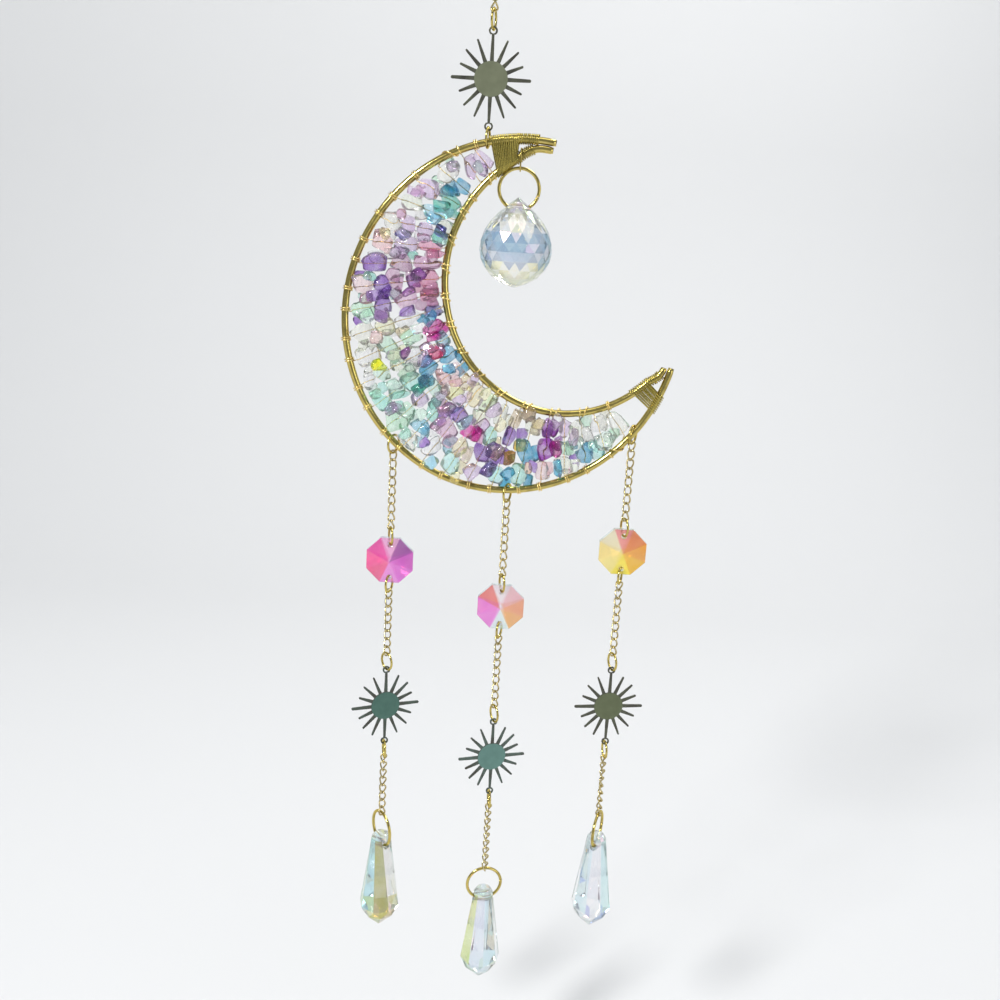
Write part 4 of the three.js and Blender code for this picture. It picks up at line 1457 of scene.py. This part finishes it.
def make_air():
    """Soft bluish light all round, seen as pale grey by the camera and through the crystals."""
    world = bpy.data.worlds.new("studio_air")
    world.use_nodes = True
    nodes, links = world.node_tree.nodes, world.node_tree.links
    nodes["Background"].inputs["Color"].default_value = (0.86, 0.93, 1.0, 1.0)
    nodes["Background"].inputs["Strength"].default_value = 0.34
    seen = nodes.new("ShaderNodeBackground")
    seen.inputs["Color"].default_value = (0.80, 0.81, 0.82, 1.0)
    mix = nodes.new("ShaderNodeMixShader")
    path = nodes.new("ShaderNodeLightPath")
    through = nodes.new("ShaderNodeMath")
    through.operation = "MAXIMUM"
    links.new(path.outputs["Is Camera Ray"], through.inputs[0])
    links.new(path.outputs["Is Transmission Ray"], through.inputs[1])
    links.new(through.outputs[0], mix.inputs[0])
    links.new(nodes["Background"].outputs[0], mix.inputs[1])
    links.new(seen.outputs[0], mix.inputs[2])
    links.new(mix.outputs[0], nodes["World Output"].inputs["Surface"])
    bpy.context.scene.world = world
    bpy.context.scene.view_settings.view_transform = "Standard"


def make_lamp(name, spot, aim, width, power):
    """Round soft lamp that faces the point it is aimed at."""
    lamp = bpy.data.lights.new(name, "AREA")
    lamp.shape = "DISK"
    lamp.size = width
    lamp.energy = power
    holder = bpy.data.objects.new("light_" + name, lamp)
    holder.location = spot
    holder.rotation_euler = (Vector(aim) - Vector(spot)).to_track_quat("-Z", "Y").to_euler()
    bpy.context.scene.collection.objects.link(holder)


def make_camera():
    """Camera at the photo's place: in front, tilted down and rolled a little."""
    scene = bpy.context.scene
    studio = scene.suncatcher_studio
    data = bpy.data.cameras.new("view")
    data.lens = studio.lens
    data.sensor_width = 36.0
    data.clip_start = 0.01
    data.clip_end = 10.0
    camera = bpy.data.objects.new("view", data)
    tilt, roll = studio.camera_tilt, studio.camera_roll
    ahead = Vector((0, math.cos(tilt), -math.sin(tilt)))
    up = Vector((0, math.sin(tilt), math.cos(tilt)))
    right = Vector((1, 0, 0))
    turned_right = right * math.cos(roll) + up * math.sin(roll)
    turned_up = up * math.cos(roll) - right * math.sin(roll)
    axes = Matrix((turned_right, turned_up, -ahead)).transposed().to_4x4()
    spot = Vector((studio.camera_side, -studio.camera_distance, -studio.camera_drop))
    camera.matrix_world = Matrix.Translation(spot) @ axes
    scene.collection.objects.link(camera)
    scene.camera = camera


class SUNCATCHER_OT_rings(bpy.types.Operator):
    """Jump rings of both sizes"""

    bl_idname = "suncatcher.rings"
    bl_label = "Add rings"

    def execute(self, context):
        dice = Dice(RING_SEED)
        for name, spec in hung("small", "large"):
            make_ring(name, spec, dice.between(-70, 70) + 20)
        return {"FINISHED"}


class SUNCATCHER_OT_chains(bpy.types.Operator):
    """Curb chains"""

    bl_idname = "suncatcher.chains"
    bl_label = "Add chains"

    def execute(self, context):
        for name, spec in hung("chain"):
            make_chain(name, spec)
        return {"FINISHED"}


class SUNCATCHER_OT_suns(bpy.types.Operator):
    """Flat sun connectors"""

    bl_idname = "suncatcher.suns"
    bl_label = "Add suns"

    def execute(self, context):
        for name, spec in hung("sun"):
            make_sun(name, spec, name.split("_")[0])
        return {"FINISHED"}


class SUNCATCHER_OT_crescent(bpy.types.Operator):
    """The two bent wires, the windings on their horns and the loop that carries the ball"""

    bl_idname = "suncatcher.crescent"
    bl_label = "Add crescent"

    def execute(self, context):
        _, arcs = layout()
        crescent = context.scene.suncatcher_crescent
        frame_wire("moon_outer_wire", arcs[0], 5)
        frame_wire("moon_inner_wire", arcs[1], 9)
        lay = crescent.wire / 2 + crescent.wrap_wire / 2 + WRAP_SLACK * MM
        for name, stretches, turns, seed, coils in HORNS:
            paths = [band_path(arcs, stretches, turns, lay, seed)]
            for which, start, end, coil_turns, coil_seed in coils:
                paths.append(coil_path(arcs[which], start, end, coil_turns, lay, coil_seed))
            make_windings(name, paths)
        for name, spec in hung("hook"):
            make_hook(name, spec)
        return {"FINISHED"}


class SUNCATCHER_OT_crystals(bpy.types.Operator):
    """Octagons, long drops and the cut ball"""

    bl_idname = "suncatcher.crystals"
    bl_label = "Add crystals"

    def execute(self, context):
        for name, spec in hung("octagon", "drop", "ball"):
            side = name.split("_")[0]
            if spec.kind == "octagon":
                make_octagon(name, spec, side)
            elif spec.kind == "drop":
                make_drop(name, spec, side)
            else:
                make_ball(name, spec)
        return {"FINISHED"}


class SUNCATCHER_OT_stones(bpy.types.Operator):
    """Tumbled stones laced between the two bent wires"""

    bl_idname = "suncatcher.stones"
    bl_label = "Add stones"

    def execute(self, context):
        _, arcs = layout()
        directions, faces = even_directions(3)
        dice, taste = Dice(CHIP_SEED), Dice(TASTE_SEED)
        first = 0
        strings = context.scene.suncatcher_crescent.strings
        for index in range(strings):
            count = 3 if index in (0, strings - 1) else 2
            make_string(arcs, index, first, count, dice, taste, directions, faces)
            first += count
        return {"FINISHED"}


class SUNCATCHER_OT_stage(bpy.types.Operator):
    """Floor, backdrop, soft light and camera"""

    bl_idname = "suncatcher.stage"
    bl_label = "Add stage"

    def execute(self, context):
        make_paper()
        make_air()
        for name, spot, aim, width, power in LAMPS:
            make_lamp(name, spot, aim, width, power)
        make_camera()
        return {"FINISHED"}


class SUNCATCHER_PT_panel(bpy.types.Panel):
    """Buttons for each group of pieces"""

    bl_idname = "SUNCATCHER_PT_panel"
    bl_label = "Suncatcher"
    bl_space_type = "VIEW_3D"
    bl_region_type = "UI"
    bl_category = "Suncatcher"

    def draw(self, context):
        for operator in OPERATORS:
            self.layout.operator(operator.bl_idname)


GROUPS = {
    "suncatcher_metal": MetalSettings,
    "suncatcher_crescent": CrescentSettings,
    "suncatcher_crystals": CrystalSettings,
    "suncatcher_studio": StudioSettings,
}
OPERATORS = (
    SUNCATCHER_OT_stage,
    SUNCATCHER_OT_rings,
    SUNCATCHER_OT_chains,
    SUNCATCHER_OT_suns,
    SUNCATCHER_OT_crescent,
    SUNCATCHER_OT_crystals,
    SUNCATCHER_OT_stones,
)


def register():
    for item in (*GROUPS.values(), *OPERATORS, SUNCATCHER_PT_panel):
        bpy.utils.register_class(item)
    for name, item in GROUPS.items():
        setattr(bpy.types.Scene, name, PointerProperty(type=item))


def unregister():
    for name in GROUPS:
        delattr(bpy.types.Scene, name)
    for item in (SUNCATCHER_PT_panel, *reversed(OPERATORS), *reversed(tuple(GROUPS.values()))):
        bpy.utils.unregister_class(item)


def main():
    register()
    bpy.ops.suncatcher.stage()
    bpy.ops.suncatcher.rings()
    bpy.ops.suncatcher.chains()
    bpy.ops.suncatcher.suns()
    bpy.ops.suncatcher.crescent()
    bpy.ops.suncatcher.crystals()
    bpy.ops.suncatcher.stones()


if __name__ == "__main__":
    main()
